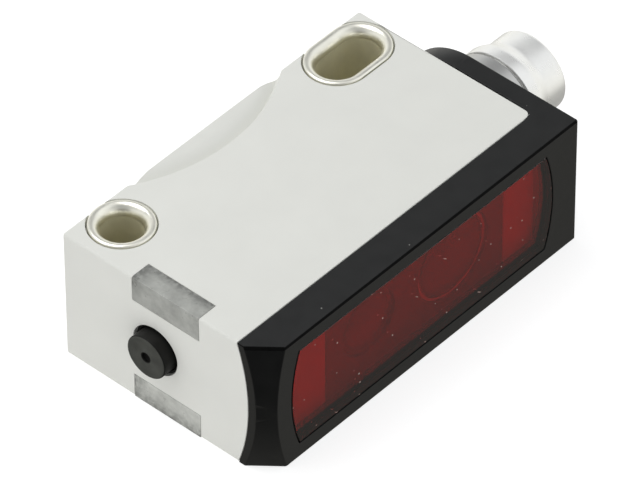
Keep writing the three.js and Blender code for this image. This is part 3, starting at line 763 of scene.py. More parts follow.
class ButtonSettings(bpy.types.PropertyGroup):
    # Colour of the button's face: the same rubber as the sides, painted about five times lighter as painted
    # light.
    rubber_colour: colour("Rubber Colour", "Colour of the rubber", (0.042, 0.044, 0.038))
    edge_radius: length("Edge Radius", "Rounding of the button's face", BUTTON_EDGE)


class GuideSettings(bpy.types.PropertyGroup):
    guide_colour: colour("Guide Colour", "Colour of the frosted plastic", (0.38, 0.385, 0.36))
    edge_radius: length("Edge Radius", "Rounding of the guide's edges", 0.05)


class PlugSettings(bpy.types.PropertyGroup):
    plating: colour("Plating", "Colour of the nickel plating", (0.95, 0.95, 0.93))
    pin_colour: colour("Pin Colour", "Colour of the gold contacts", (0.83, 0.6, 0.24))


class InsideSettings(bpy.types.PropertyGroup):
    frame_colour: colour("Frame Colour", "Colour of the optics frame", (0.8, 0.77, 0.7))
    carrier_colour: colour("Carrier Colour", "Colour of the lens carrier", (0.145, 0.14, 0.14))
    board_colour: colour("Board Colour", "Colour of the circuit boards", (0.016, 0.11, 0.045))


# ---------------------------------------------------------------- stage


def build_stage(settings):
    scene = bpy.context.scene
    scene.view_settings.view_transform = "Standard"
    build_floor(settings)
    build_world(settings)
    build_lamp(settings)
    build_camera(settings)


def build_floor(settings):
    floor = rod("Z", (0, 0), FLOOR_RADIUS, (-FLOOR_DEPTH, 0))
    floor.data.transform(Matrix.Scale(MM, 4))
    floor.name = "pale_floor"
    paper = moulded_plastic("lit paper", settings.floor_colour, 0.9, grain=0.6, depth=0.003, spread=0.005)
    paper.set(Specular_IOR_Level=0.0, Emission_Color=(1, 1, 1, 1), Emission_Strength=settings.floor_glow)
    floor.data.materials.append(paper.material)
    floor.visible_glossy = False


def build_world(settings):
    """Soft sky: pale walls all round, dimmer above and below, dark low before the cut-back corner."""
    world = bpy.data.worlds.new("soft sky")
    world.use_nodes = True
    tree = world.node_tree
    way = tree.nodes.new("ShaderNodeTexCoord").outputs["Generated"]

    def patch(before, centre, start, end, brightness):
        """Blends a brightness in around a direction."""
        towards = tree.nodes.new("ShaderNodeVectorMath")
        towards.operation = "DOT_PRODUCT"
        towards.inputs[1].default_value = centre.normalized()
        tree.links.new(way, towards.inputs[0])
        share = tree.nodes.new("ShaderNodeMapRange")
        share.interpolation_type = "SMOOTHSTEP"
        share.inputs["From Min"].default_value = start
        share.inputs["From Max"].default_value = end
        tree.links.new(towards.outputs["Value"], share.inputs["Value"])
        mix = tree.nodes.new("ShaderNodeMix")
        if isinstance(before, float):
            mix.inputs["A"].default_value = before
        else:
            tree.links.new(before, mix.inputs["A"])
        mix.inputs["B"].default_value = brightness
        tree.links.new(share.outputs["Result"], mix.inputs["Factor"])
        return mix.outputs["Result"]

    up = Vector((0, 0, 1))
    level = patch(settings.horizon, up, 0.3, 0.7, settings.top_sky)
    level = patch(level, -up, 0.25, 0.65, settings.low_sky)
    level = patch(level, ABOVE_PLUG_END, 0.8, 0.97, settings.bright_panel)
    level = patch(level, BEFORE_CUT_CORNER, 0.6, 0.92, settings.dark_corner)
    rise = tree.nodes.new("ShaderNodeSeparateXYZ")
    tree.links.new(way, rise.inputs["Vector"])
    height = tree.nodes.new("ShaderNodeMapRange")
    height.inputs["From Min"].default_value = -0.5
    height.inputs["From Max"].default_value = 0.5
    tree.links.new(rise.outputs["Z"], height.inputs["Value"])
    tone = tree.nodes.new("ShaderNodeMix")
    tone.data_type = "RGBA"
    tree.links.new(height.outputs["Result"], tone.inputs["Factor"])
    tone.inputs[6].default_value = (*settings.low_tone, 1)
    tone.inputs[7].default_value = (*settings.high_tone, 1)
    background = tree.nodes["Background"]
    tree.links.new(tone.outputs[2], background.inputs["Color"])
    tree.links.new(level, background.inputs["Strength"])
    bpy.context.scene.world = world


def build_lamp(settings):
    light = bpy.data.lights.new("overhead_softbox", "AREA")
    light.shape = "RECTANGLE"
    light.size = LAMP_SIZE[0] * MM
    light.size_y = LAMP_SIZE[1] * MM
    light.energy = settings.key_power
    lamp = bpy.data.objects.new("overhead_softbox", light)
    lamp.location = LAMP_PLACE * MM
    lamp.rotation_mode = "QUATERNION"
    lamp.rotation_quaternion = (LAMP_PLACE - Vector((0, 0, Z_MID))).to_track_quat("Z", "Y")
    bpy.context.scene.collection.objects.link(lamp)


def build_camera(settings):
    turn, rise = settings.camera_turn, settings.camera_rise
    back = Vector((math.sin(turn) * math.cos(rise), -math.cos(turn) * math.cos(rise), math.sin(rise)))
    data = bpy.data.cameras.new("camera")
    data.lens = settings.camera_lens
    data.sensor_width = 36
    data.clip_start = 0.01
    camera = bpy.data.objects.new("camera", data)
    camera.location = CAMERA_AIM * MM + back * settings.camera_distance
    camera.rotation_mode = "QUATERNION"
    roll = Quaternion((0, 0, 1), settings.camera_roll)
    camera.rotation_quaternion = back.to_track_quat("Z", "Y") @ roll
    bpy.context.scene.collection.objects.link(camera)
    bpy.context.scene.camera = camera


# ---------------------------------------------------------------- housing and cover


def housing_form(grow, x_start, over):
    """Housing profile pushed along X, its seam bulging to the front; grow widens it to the cover."""
    radius = (Z_MID**2 + SEAM_SAGITTA**2) / (2 * SEAM_SAGITTA)
    centre = (SEAM_Y_MID + radius, Z_MID)
    half = math.asin((Z_MID + over) / (radius + grow))
    seam = arc(centre, radius + grow, math.pi + half, math.pi - half, SEAM_STEPS)
    low, high = -over, HEIGHT + over
    outline = [(Y_REAR, low), *seam, (Y_REAR, high)]
    return prism("X", outline, (x_start, X_BODY_END + grow))


def in_elbow(edge):
    """True on the upright edge inside the cover's elbow."""
    return all(
        vert.co.x > X_BODY_END - NEAR and vert.co.y < SEAM_Y_EDGE + OVERRUN for vert in edge.verts
    )


def split_at_ear(body):
    """Adds an edge loop level with the plug's axis, where the cover's ear turns down."""
    bm = bmesh.new()
    bm.from_mesh(body.data)
    everything = bm.verts[:] + bm.edges[:] + bm.faces[:]
    bmesh.ops.bisect_plane(bm, geom=everything, plane_co=(0, PLUG_AXIS_Y, 0), plane_no=(0, 1, 0))
    bm.to_mesh(body.data)
    bm.free()


def sleeve_hole(span):
    """Cutter for a sleeve's tube and both its flanges."""
    wide = SLEEVE_FLANGE_RADIUS + SLEEVE_GAP
    slim = SLEEVE_TUBE_RADIUS + FIT_GAP
    depth = SLEEVE_FLANGE_DEPTH + FIT_GAP
    profile = [
        (wide, -OVERRUN),
        (wide, depth),
        (slim, depth),
        (slim, HEIGHT - depth),
        (wide, HEIGHT - depth),
        (wide, HEIGHT + OVERRUN),
    ]
    return lofted(profile, span, SLEEVE_Y, capped=True)


def crescent_tools():
    """Ring cutters for the groove in the upper and the lower wide face."""
    upper = [(radius, HEIGHT - depth) for radius, depth in CRESCENT_PROFILE]
    inner, outer = CRESCENT_PROFILE[0][0], CRESCENT_PROFILE[-1][0]
    upper += [(outer, HEIGHT + OVERRUN), (inner, HEIGHT + OVERRUN)]
    lower = [(radius, HEIGHT - z) for radius, z in upper]
    centre = (CRESCENT_X, CRESCENT_Y)
    return [turned("Z", centre, profile, RING_STEPS) for profile in (upper, lower)]


def guide_pockets():
    """Cutters for the light guides' seats at the upper and the lower edge of the button end."""
    x = (X_BUTTON_END - OVERRUN, X_BUTTON_END + GUIDE_DEPTH_X + GUIDE_GAP)
    y = (GUIDE_Y[0] - GUIDE_GAP, GUIDE_Y[1] + GUIDE_GAP)
    depth = GUIDE_DEPTH_Z + GUIDE_GAP
    return [block(x, y, (HEIGHT - depth, HEIGHT + OVERRUN)), block(x, y, (-OVERRUN, depth))]


def build_housing(settings):
    body = housing_form(0, X_BUTTON_END, 0)
    split_at_ear(body)

    def outer_radius(edge):
        middle = middle_of(edge)
        if in_elbow(edge):
            return settings.elbow_radius / MM
        if middle.y < SEAM_Y_EDGE + NEAR:
            return settings.rim_radius / MM
        if at(middle.x, X_BODY_END) and middle.y < PLUG_AXIS_Y:
            return settings.rim_radius / MM
        if at(middle.y, Y_REAR) and runs_along(edge, 2):
            return settings.corner_radius / MM
        return settings.edge_radius / MM

    round_edges(body, outer_radius, segments=5)
    inside = (WALL, HEIGHT - WALL)
    cut(
        body,
        *crescent_tools(),
        block((X_BUTTON_END + END_WALL, X_BODY_END - END_WALL), (Y_WINDOW, CAVITY_Y_REAR), inside),
        block(POCKET_X, (0, POCKET_Y_REAR), inside),
        rod("X", BUTTON_CENTRE, BUTTON_HOLE_RADIUS, (X_BUTTON_END - OVERRUN, BUTTON_COLLAR_X)),
        rod("X", PLUG_CENTRE, PLUG_SHANK_RADIUS + FIT_GAP, (X_BODY_END - 2 * END_WALL, X_PLUG_END)),
        *guide_pockets(),
        sleeve_hole(ROUND_SPAN),
        sleeve_hole(SLOT_SPAN),
    )

    def rim_radius(edge):
        on_face = any(
            all(at(vert.co[axis], level) for vert in edge.verts)
            for axis, level in ((2, 0), (2, HEIGHT), (0, X_BUTTON_END))
        )
        return settings.rim_radius / MM if on_face else 0

    round_edges(body, rim_radius, segments=2)
    shell = moulded_plastic("pale moulded shell", settings.shell_colour, 0.48, spread=0.015)
    finish(body, "pale_shell_body", "housing", shell.material, ["housing_body"])


def corner_wedge():
    """What is cut off the cover's corner at the button end; its inner side is a shallow barrel."""
    mid_reach = BEVEL_MID.x * BEVEL_MID.y / BEVEL_MID.length
    top_reach = BEVEL_TOP.x * BEVEL_TOP.y / BEVEL_TOP.length
    sagitta = top_reach - mid_reach
    radius = (Z_MID**2 + sagitta**2) / (2 * sagitta)
    half = math.asin((Z_MID + OVERRUN) / radius)
    curve = arc((mid_reach + radius, Z_MID), radius, math.pi + half, math.pi - half, SEAM_STEPS)
    outline = [(-WCOVER_EDGE_REACH, -OVERRUN), *curve, (-WCOVER_EDGE_REACH, HEIGHT + OVERRUN)]
    wedge = prism("Y", outline, (-WCOVER_EDGE_REACH, WCOVER_EDGE_REACH))
    inward = Vector((BEVEL_TOP.y, BEVEL_TOP.x)).normalized()
    turn = Matrix.Rotation(math.atan2(inward.y, inward.x), 4, "Z")
    wedge.data.transform(Matrix.Translation((X_BUTTON_END, Y_WINDOW, 0)) @ turn)
    return wedge


def pane_outline(margin):
    """Window outline in X and Z with straight long sides and bowed ends."""
    low = Vector((PANE_LOW.x + PANE_BOW - margin, PANE_LOW.z - margin))
    high = Vector((PANE_HIGH.x - PANE_BOW + margin, PANE_HIGH.z + margin))
    half_height = (high.y - low.y) / 2
    radius = (half_height**2 + PANE_BOW**2) / (2 * PANE_BOW)
    half = math.asin(half_height / radius)
    reach = radius - PANE_BOW
    right = arc((high.x - reach, Z_MID), radius, -half, half, ARC_STEPS)
    left = arc((low.x + reach, Z_MID), radius, math.pi - half, math.pi + half, ARC_STEPS)
    return right + left


def build_cover(settings):
    plan = [
        (X_BUTTON_END, Y_WINDOW),
        (X_PLUG_END, Y_WINDOW),
        (X_PLUG_END, PLUG_AXIS_Y + Z_MID + OVERRUN),
        (X_BODY_END - OVERRUN, PLUG_AXIS_Y + Z_MID + OVERRUN),
        (X_BODY_END - OVERRUN, SEAM_Y_EDGE + OVERRUN),
        (X_BUTTON_END, SEAM_Y_EDGE + OVERRUN),
    ]
    quarter = math.pi / 2
    side = [(Y_WINDOW, HEIGHT), (Y_WINDOW, 0)]
    side += arc((PLUG_AXIS_Y, Z_MID), Z_MID, -quarter, quarter, ARC_STEPS * 3)
    cover = prism("Z", plan, (-OVERRUN, HEIGHT + OVERRUN))
    common(cover, prism("X", side, (X_BUTTON_END - OVERRUN, X_PLUG_END + OVERRUN)))

    def outer_radius(edge):
        middle = middle_of(edge)
        if at(middle.y, Y_WINDOW) and at(middle.z, HEIGHT):
            return settings.brow_radius / MM
        outside = at(middle.y, Y_WINDOW) or at(middle.x, X_PLUG_END)
        return settings.edge_radius / MM if outside else 0

    round_edges(cover, outer_radius, segments=4)
    depth = PANE_HIGH.y - PANE_LOW.y
    cut(
        cover,
        round_edges(
            housing_form(FIT_GAP, X_BUTTON_END - OVERRUN, OVERRUN),
            lambda edge: ELBOW_RADIUS if in_elbow(edge) else 0,
        ),
        block(COVER_CAVITY_X, (Y_WINDOW + COVER_WALL_FRONT, 0), (WALL, HEIGHT - WALL)),
        prism("Y", pane_outline(PANE_GAP), (Y_WINDOW - OVERRUN, Y_WINDOW + depth + FIT_GAP)),
        prism("Y", pane_outline(-PANE_LEDGE), (Y_WINDOW, Y_WINDOW + 2 * COVER_WALL_FRONT)),
        rod("X", PLUG_CENTRE, PLUG_SHANK_RADIUS + FIT_GAP, (X_BODY_END - OVERRUN, X_PLUG_END + OVERRUN)),
        corner_wedge(),
    )

    round_edges(cover, lambda edge: settings.rim_radius / MM, segments=2)
    shell = moulded_plastic("black moulded cover", settings.shell_colour, 0.4, spread=0.1, dust=DUST)
    shell.set(Specular_IOR_Level=0.4)
    finish(cover, "black_front_shell", "housing", shell.material, ["front_cover"])
    shade_line = rubber("cover edge in shade", (0.0025, 0.0025, 0.0025), 0.7)
    shade_line.set(Specular_IOR_Level=0.06)
    paint(cover, shade_line.material, on_front_top_edge)
    paint(cover, shade_line.material, behind_pane)


def behind_pane(face):
    """True on the cover's walls around the optics."""
    centre = face.center / MM
    between = Y_WINDOW + COVER_WALL_FRONT - COVER_LEDGE < centre.y < SEAM_Y_EDGE
    within = COVER_CAVITY_X[0] - NEAR < centre.x < COVER_CAVITY_X[1] + NEAR
    return between and within and WALL - NEAR < centre.z < HEIGHT - WALL + NEAR


def on_front_top_edge(face):
    """True on the rounding between the top face and the front or the cut-back corner."""
    centre = face.center / MM
    corner_line = (centre.x - X_BUTTON_END) / BEVEL_TOP.x + (centre.y - Y_WINDOW) / BEVEL_TOP.y
    outside = centre.y < Y_WINDOW + COVER_EDGE_REACH or corner_line < 1 + COVER_EDGE_REACH
    return outside and centre.z > HEIGHT - COVER_EDGE_REACH and 0.12 < face.normal.z < 0.97


def build_window(settings):
    pane = prism("Y", pane_outline(0), (PANE_LOW.y, PANE_HIGH.y))
    pane.data.transform(Matrix.Translation((0, 0, PANE_RISE)))
    round_edges(pane, lambda edge: settings.edge_radius / MM, segments=3)
    acrylic = red_window(settings)
    finish(pane, "red_window", "housing", acrylic.material, ["window_pane"])
    # Painted shade: the pane's sides, hidden in the rebate, get a near-black finish so that no light shows
    # along its edges.
    painted_shade = rubber("black edge glue", (0.01, 0.009, 0.008), 0.6)
    paint(pane, painted_shade.material, lambda face: abs(face.normal.y) < PANE_SIDE_SLOPE)


# ---------------------------------------------------------------- sleeves, button, guides


def sleeve_profile(proud):
    """Half of a pressed sleeve from mid-height up: bore, rolled lip, rim, flange and tube."""
    top = HEIGHT + proud
    lip_start = HEIGHT - SLEEVE_LIP_DEPTH
    quarter = math.pi / 2
    lip = []
    for step in range(ARC_STEPS // 2 + 1):
        part = quarter * step / (ARC_STEPS // 2)
        radius = SLEEVE_CROWN_RADIUS - (SLEEVE_CROWN_RADIUS - SLEEVE_BORE_RADIUS) * math.cos(part)
        lip.append((radius, lip_start + (top - lip_start) * math.sin(part)))
    rim = []
    for step in range(1, ARC_STEPS // 4 + 1):
        part = quarter * step / (ARC_STEPS // 4)
        radius = SLEEVE_CROWN_RADIUS + (SLEEVE_FLANGE_RADIUS - SLEEVE_CROWN_RADIUS) * math.sin(part)
        rim.append((radius, top - SLEEVE_RIM_DROP * (1 - math.cos(part))))
    under = HEIGHT - SLEEVE_FLANGE_DEPTH
    return [*lip, *rim, (SLEEVE_FLANGE_RADIUS, under), (SLEEVE_TUBE_RADIUS, under)]


def build_sleeve(name, node, span, settings, metal, bore):
    upper = sleeve_profile(settings.proud / MM)
    lower = [(radius, HEIGHT - z) for radius, z in reversed(upper)]
    sleeve = lofted(upper + lower, span, SLEEVE_Y, capped=False)
    finish(sleeve, name, "housing", metal, [node])
    paint(sleeve, bore, lambda face: in_bore(face, span))


def in_bore(face, span):
    """True inside a sleeve's bore, below its rolled lips."""
    centre = face.center / MM
    axis_x = min(max(centre.x, span[0]), span[1])
    radius = (Vector((centre.x, centre.y)) - Vector((axis_x, SLEEVE_Y))).length
    return radius < SLEEVE_BORE_RADIUS + NEAR and abs(face.normal.z) < 0.2


def build_sleeves(settings):
    metal = plated_metal("sleeve nickel", settings.plating, 0.33, grain=0.25).material
    dull = (0.72, 0.69, 0.52)
    bore = plated_metal("dull sleeve bore", dull, 0.5, grain=0.3, marking=0.01, metallic=0.55).material
    build_sleeve("round_mounting_sleeve", "round_sleeve", ROUND_SPAN, settings, metal, bore)
    build_sleeve("slotted_mounting_sleeve", "slotted_sleeve", SLOT_SPAN, settings, metal, bore)


def button_profile(edge):
    """Half of the button: dimple, dished face, rounded edge, collar behind the wall and stem."""
    face = BUTTON_LOW.x
    floor = face + BUTTON_DIMPLE_DEPTH
    collar_end = BUTTON_COLLAR_X + BUTTON_COLLAR_THICKNESS
    profile = [
        (0, floor),
        (BUTTON_DIMPLE_RADIUS - 0.08, floor),
        (BUTTON_DIMPLE_RADIUS, floor - 0.08),
        (BUTTON_DIMPLE_RADIUS, face + 0.05),
        (BUTTON_DIMPLE_RADIUS + 0.05, face + 0.01),
        (BUTTON_DIMPLE_RADIUS + 0.14, face),
        (BUTTON_DIMPLE_RADIUS + 0.3, face + 0.04),
        (BUTTON_RADIUS - edge - 0.2, face + 0.03),
    ]
    turn = arc((face + edge, BUTTON_RADIUS - edge), edge, math.pi, math.pi / 2, 8)
    profile += [(radius, along) for along, radius in turn]
    profile += [
        (BUTTON_RADIUS, BUTTON_COLLAR_X),
        (BUTTON_HOLE_RADIUS + 0.35, BUTTON_COLLAR_X),
        (BUTTON_HOLE_RADIUS + 0.35, collar_end),
        (BUTTON_STEM_RADIUS, collar_end),
        (BUTTON_STEM_RADIUS, BUTTON_HIGH.x - 0.1),
        (BUTTON_STEM_RADIUS - 0.1, BUTTON_HIGH.x),
        (0, BUTTON_HIGH.x),
    ]
    return profile


def build_button(settings):
    # Painted light and shade: the sides and the seal get near-black rubber, and the face the same rubber
    # about five times lighter.
    soft = rubber("button rubber", (0.008, 0.008, 0.007), 0.55)
    soft.set(Specular_IOR_Level=0.16)
    painted_lit = rubber("worn button face", settings.rubber_colour, 0.55)
    cap = turned("X", BUTTON_CENTRE, button_profile(settings.edge_radius / MM))
    finish(cap, "teach_button_cap", "button", soft.material, ["teach_button"])
    paint(cap, painted_lit.material, on_button_face)
    build_button_seal(soft)


def on_button_face(face):
    return face.center.x < BUTTON_FACE_X * MM and face.normal.x < -0.8


def build_button_seal(soft):
    outer = BUTTON_HOLE_RADIUS - 0.02
    middle = (SEAL_LOW.x + SEAL_HIGH.x) / 2
    ring = turned("X", BUTTON_CENTRE, [
        (SEAL_INNER_RADIUS, SEAL_LOW.x + 0.08),
        (SEAL_INNER_RADIUS + 0.04, SEAL_LOW.x),
        (outer - 0.04, SEAL_LOW.x),
        (outer, SEAL_LOW.x + 0.08),
        (outer - 0.05, middle),
        (outer, SEAL_HIGH.x - 0.08),
        (outer - 0.04, SEAL_HIGH.x),
        (SEAL_INNER_RADIUS + 0.04, SEAL_HIGH.x),
        (SEAL_INNER_RADIUS, SEAL_HIGH.x - 0.08),
        (SEAL_INNER_RADIUS + 0.05, middle),
    ])
    finish(ring, "button_seal_ring", "housing", soft.material, ["button_seal"])


def guide_piece():
    """Upper light guide: the block in the shell's corner, its tongue and the foot over the lamps."""
    x = (X_BUTTON_END, X_BUTTON_END + GUIDE_DEPTH_X)
    head = block(x, GUIDE_Y, (HEIGHT - GUIDE_DEPTH_Z, HEIGHT))
    tongue = block((x[1] - OVERRUN, GUIDE_HIGH.x), GUIDE_TONGUE_Y, GUIDE_TONGUE_Z)
    foot = block((GUIDE_FOOT_X, GUIDE_HIGH.x), GUIDE_TONGUE_Y, (GUIDE_LOW.z, GUIDE_TONGUE_Z[1]))
    return join(head, tongue, foot)


def build_guides(settings):
    for side, outward in (("upper", 1), ("lower", -1)):
        # Painted light: the lower guide gets the same frosted colour half again lighter than the upper one.
        tone = settings.guide_colour if outward > 0 else shade(settings.guide_colour, 1.5)
        milky = frosted(f"{side} frosted guide", tone, outward).material
        guide = guide_piece()
        round_edges(guide, lambda edge: settings.edge_radius / MM, segments=3)
        if side == "lower":
            flip = Matrix.Translation((0, 0, HEIGHT)) @ Matrix.Scale(-1, 4, (0, 0, 1))
            guide.data.transform(flip)
            guide.data.flip_normals()
        finish(guide, f"{side}_status_guide", "housing", milky, [f"{side}_light_guide"])


# ---------------------------------------------------------------- plug


def plug_profile():
    """Half of the plug's shell: flange, seal groove, dull collar darkened as a painted reflection, crease,
    lip, shoulder and barrel.
    """
    start = X_PLUG_END + 0.04
    crease = PLUG_CREASE_X
    tip = PLUG_HIGH.x
    return [
        (PLUG_BORE_RADIUS, PLUG_LOW.x),
        (PLUG_FLANGE_RADIUS, PLUG_LOW.x),
        (PLUG_FLANGE_RADIUS, PLUG_LOW.x + PLUG_FLANGE_LENGTH),
        (PLUG_SHANK_RADIUS, PLUG_LOW.x + PLUG_FLANGE_LENGTH),
        (PLUG_SHANK_RADIUS, PLUG_GROOVE_X[0]),
        (PLUG_GROOVE_RADIUS, PLUG_GROOVE_X[0]),
        (PLUG_GROOVE_RADIUS, PLUG_GROOVE_X[1]),
        (PLUG_SHANK_RADIUS, PLUG_GROOVE_X[1]),
        (PLUG_SHANK_RADIUS, start),
        (PLUG_COLLAR_RADIUS - 0.06, start),
        (PLUG_COLLAR_RADIUS, start + 0.06),
        (PLUG_COLLAR_RADIUS, crease - 0.15),
        (PLUG_COLLAR_RADIUS - 0.05, crease - 0.08),
        (PLUG_COLLAR_RADIUS - 0.22, crease - 0.05),
        (PLUG_COLLAR_RADIUS - 0.25, crease),
        (PLUG_COLLAR_RADIUS - 0.22, crease + 0.05),
        (PLUG_LIP_RADIUS - 0.05, crease + 0.08),
        (PLUG_LIP_RADIUS, crease + 0.13),
        (PLUG_LIP_RADIUS, PLUG_LIP_END_X),
        (PLUG_LIP_RADIUS - 0.03, PLUG_LIP_END_X + 0.17),
        (PLUG_LIP_RADIUS - 0.1, PLUG_LIP_END_X + 0.37),
        (PLUG_LIP_RADIUS - 0.22, PLUG_LIP_END_X + 0.64),
        (PLUG_BARREL_RADIUS + 0.1, PLUG_BARREL_X - 0.4),
        (PLUG_BARREL_RADIUS + 0.03, PLUG_BARREL_X - 0.2),
        (PLUG_BARREL_RADIUS, PLUG_BARREL_X),
        (PLUG_BARREL_RADIUS, tip - 0.28),
        (PLUG_BARREL_RADIUS - 0.03, tip - 0.16),
        (PLUG_BARREL_RADIUS - 0.1, tip - 0.06),
        (PLUG_BARREL_RADIUS - 0.2, tip),
        (PLUG_BORE_RADIUS + 0.08, tip),
        (PLUG_BORE_RADIUS, tip - 0.08),
    ]


def pin_centres():
    """Cross coordinates of the contact pins on their circle."""
    for k in range(PIN_COUNT):
        place = (k + 0.5) * math.tau / PIN_COUNT
        yield (
            PLUG_AXIS_Y + PIN_CIRCLE_RADIUS * math.cos(place),
            Z_MID + PIN_CIRCLE_RADIUS * math.sin(place),
        )


def build_plug(settings):
    build_plug_shell(settings)
    build_plug_seal()
    build_pin_holder()
    build_pins(settings)


def build_plug_shell(settings):
    metal = plated_metal("plug nickel", settings.plating, 0.3, grain=1.5, marking=0.0002, metallic=0.7)
    # Painted reflection: the collar is dull and streaked, and its colour is also darkened to 0.6 of the
    # plating, as if mirroring the black cover beside it.
    matt_with_reflection = plated_metal("matt plug collar", shade(settings.plating, 0.6), 0.34, grain=0.12, stretch=(6, 1, 1))
    shell = turned("X", PLUG_CENTRE, plug_profile(), steps=128)
    finish(shell, "plug_sleeve", "housing", metal.material, ["plug_shell"])
    paint(shell, matt_with_reflection.material, lambda face: face.center.x < (PLUG_CREASE_X + 0.03) * MM)


def build_plug_seal():
    soft = rubber("plug seal rubber", (0.015, 0.015, 0.015), 0.6).material
    low, high = mm_box("plug_seal")
    inner = PLUG_GROOVE_RADIUS + 0.02
    outer = (high.y - low.y) / 2
    seal = turned("X", PLUG_CENTRE, [
        (inner, low.x),
        (outer - 0.05, low.x),
        (outer, (low.x + high.x) / 2),
        (outer - 0.05, high.x),
        (inner, high.x),
    ])
    finish(seal, "plug_seal_ring", "housing", soft, ["plug_seal"])


def build_pin_holder():
    low, high = mm_box("plug_insulator")
    holder = rod("X", PLUG_CENTRE, PLUG_BORE_RADIUS - 0.02, (low.x, high.x))
    key_top = Z_MID + PLUG_BORE_RADIUS
    key = block(
        (high.x - KEY_LENGTH, high.x + OVERRUN),
        (PLUG_AXIS_Y - KEY_WIDTH / 2, PLUG_AXIS_Y + KEY_WIDTH / 2),
        (key_top - KEY_DEPTH, key_top + OVERRUN),
    )
    through = (low.x - OVERRUN, high.x + OVERRUN)
    holes = [rod("X", place, PIN_RADIUS + 0.02, through, 32) for place in pin_centres()]
    cut(holder, key, *holes)
    round_edges(holder, lambda edge: 0.05, segments=2)
    black = moulded_plastic("plug insulator plastic", (0.02, 0.02, 0.021), 0.5).material
    finish(holder, "pin_holder", "housing", black, ["plug_insulator"])


def build_pins(settings):
    gold = plated_metal("contact gold", settings.pin_colour, 0.2, grain=0.2).material
    low, high = mm_box("contact_pin_1")
    round_end = arc((high.x - PIN_TIP, 0), PIN_TIP, math.pi / 2, 0, 6)
    profile = [(0, low.x), (PIN_RADIUS - 0.05, low.x), (PIN_RADIUS, low.x + 0.05)]
    profile += [(PIN_RADIUS * height / PIN_TIP, along) for along, height in round_end]
    for number, place in enumerate(pin_centres(), start=1):
        pin = turned("X", place, profile, 32)
        finish(pin, f"gold_pin_{number}", "housing", gold, [f"contact_pin_{number}"])


# ---------------------------------------------------------------- optics


class Lens:
    """A lens, with its tunnel through the carrier and its rim."""

    def __init__(self, name, dome_radius, cone_radius, window_half):
        self.name = name
        self.low, self.high = mm_box(f"{name}_lens")
        self.x = (self.low.x + self.high.x) / 2
        self.radius = (self.high.x - self.low.x) / 2
        self.dome_radius = dome_radius
        self.cone_radius = cone_radius
        self.window_half = window_half

    def tunnel(self, front, back):
        """Cutters for the lens's seat, the cone behind it and the chip's window in the back wall."""
        mouth = self.radius + OPTICS_GAP
        seat = self.high.y + OPTICS_GAP
        cone_end = back - CHIP_WINDOW_DEPTH
        profile = [
            (0, front - OVERRUN),
            (mouth, front - OVERRUN),
            (mouth, seat),
            (self.dome_radius, seat),
            (self.cone_radius, cone_end),
            (0, cone_end),
        ]
        half = self.window_half
        cone = turned("Y", (self.x, Z_MID), profile, 64)
        wall = (cone_end - CARRIER_LEDGE, back + OVERRUN)
        return cone, block((self.x - half, self.x + half), wall, (Z_MID - half, Z_MID + half))

    def body(self):
        rim = self.high.y - LENS_FLANGE
        edge = 0.05
        profile = [
            (0, self.high.y),
            (self.radius - edge, self.high.y),
            (self.radius, self.high.y - edge),
            (self.radius, rim + edge),
            (self.radius - edge, rim),
            (self.radius - LENS_RING, rim),
            (self.dome_radius + edge, rim),
        ]
        crown = arc((0, 0), 1.0, 0, math.pi / 2, 12)
        profile += [(self.dome_radius * across, rim - LENS_CROWN * up) for across, up in crown]
        return turned("Y", (self.x, Z_MID), profile)

    def on_rim(self, face):
        centre = face.center / MM
        off_axis = Vector((centre.x - self.x, centre.z - Z_MID))
        return off_axis.length > self.radius - LENS_RING


LENSES = (
    Lens("receiver", dome_radius=3.4, cone_radius=1.92, window_half=1.6),
    Lens("emitter", dome_radius=2.4, cone_radius=1.38, window_half=1.15),
)


def build_optics(settings):
    build_surround(settings)
    build_carrier(settings)
    build_lenses(settings)


def build_surround(settings):
    """Pale frame behind the pane: rails around the carrier and a pad at each end."""
    low, high = OPTICS_FRAME_LOW, OPTICS_FRAME_HIGH
    front = CARRIER_LOW.y
    upright = (low.z, high.z)
    surround = block((low.x, high.x), (front + CARRIER_FLANGE + OPTICS_GAP, high.y), upright)
    near_pad = block((low.x, CARRIER_LOW.x - OPTICS_GAP), (front, high.y), upright)
    far_pad = block((CARRIER_HIGH.x + OPTICS_GAP, high.x), (front, high.y), upright)
    join(surround, near_pad, far_pad)
    opening_x = widened(CARRIER_CORE_X, OPTICS_GAP)
    opening_z = widened(CARRIER_CORE_Z, OPTICS_GAP)
    cut(surround, block(opening_x, (front - OVERRUN, high.y + OVERRUN), opening_z))
    round_edges(surround, lambda edge: 0.12, segments=3)
    natural = moulded_plastic("frame plastic", settings.frame_colour, 0.45, spread=0.03).material
    finish(surround, "optics_surround", "housing", natural, ["optics_frame"])


def widened(limits, gap):
    return limits[0] - gap, limits[1] + gap


def build_carrier(settings):
    low, high = CARRIER_LOW, CARRIER_HIGH
    flange_end = low.y + CARRIER_FLANGE
    carrier = block((low.x, high.x), (low.y, flange_end), (low.z, high.z))
    join(carrier, block(CARRIER_CORE_X, (flange_end - 0.2, high.y), CARRIER_CORE_Z))
    for lens in LENSES:
        cut(carrier, *lens.tunnel(low.y, high.y))
    round_edges(carrier, lambda edge: 0.06, segments=2)
    dark = moulded_plastic("carrier plastic", settings.carrier_colour, 0.4, spread=0.06).material
    finish(carrier, "lens_carrier", "housing", dark, ["optics_carrier"])


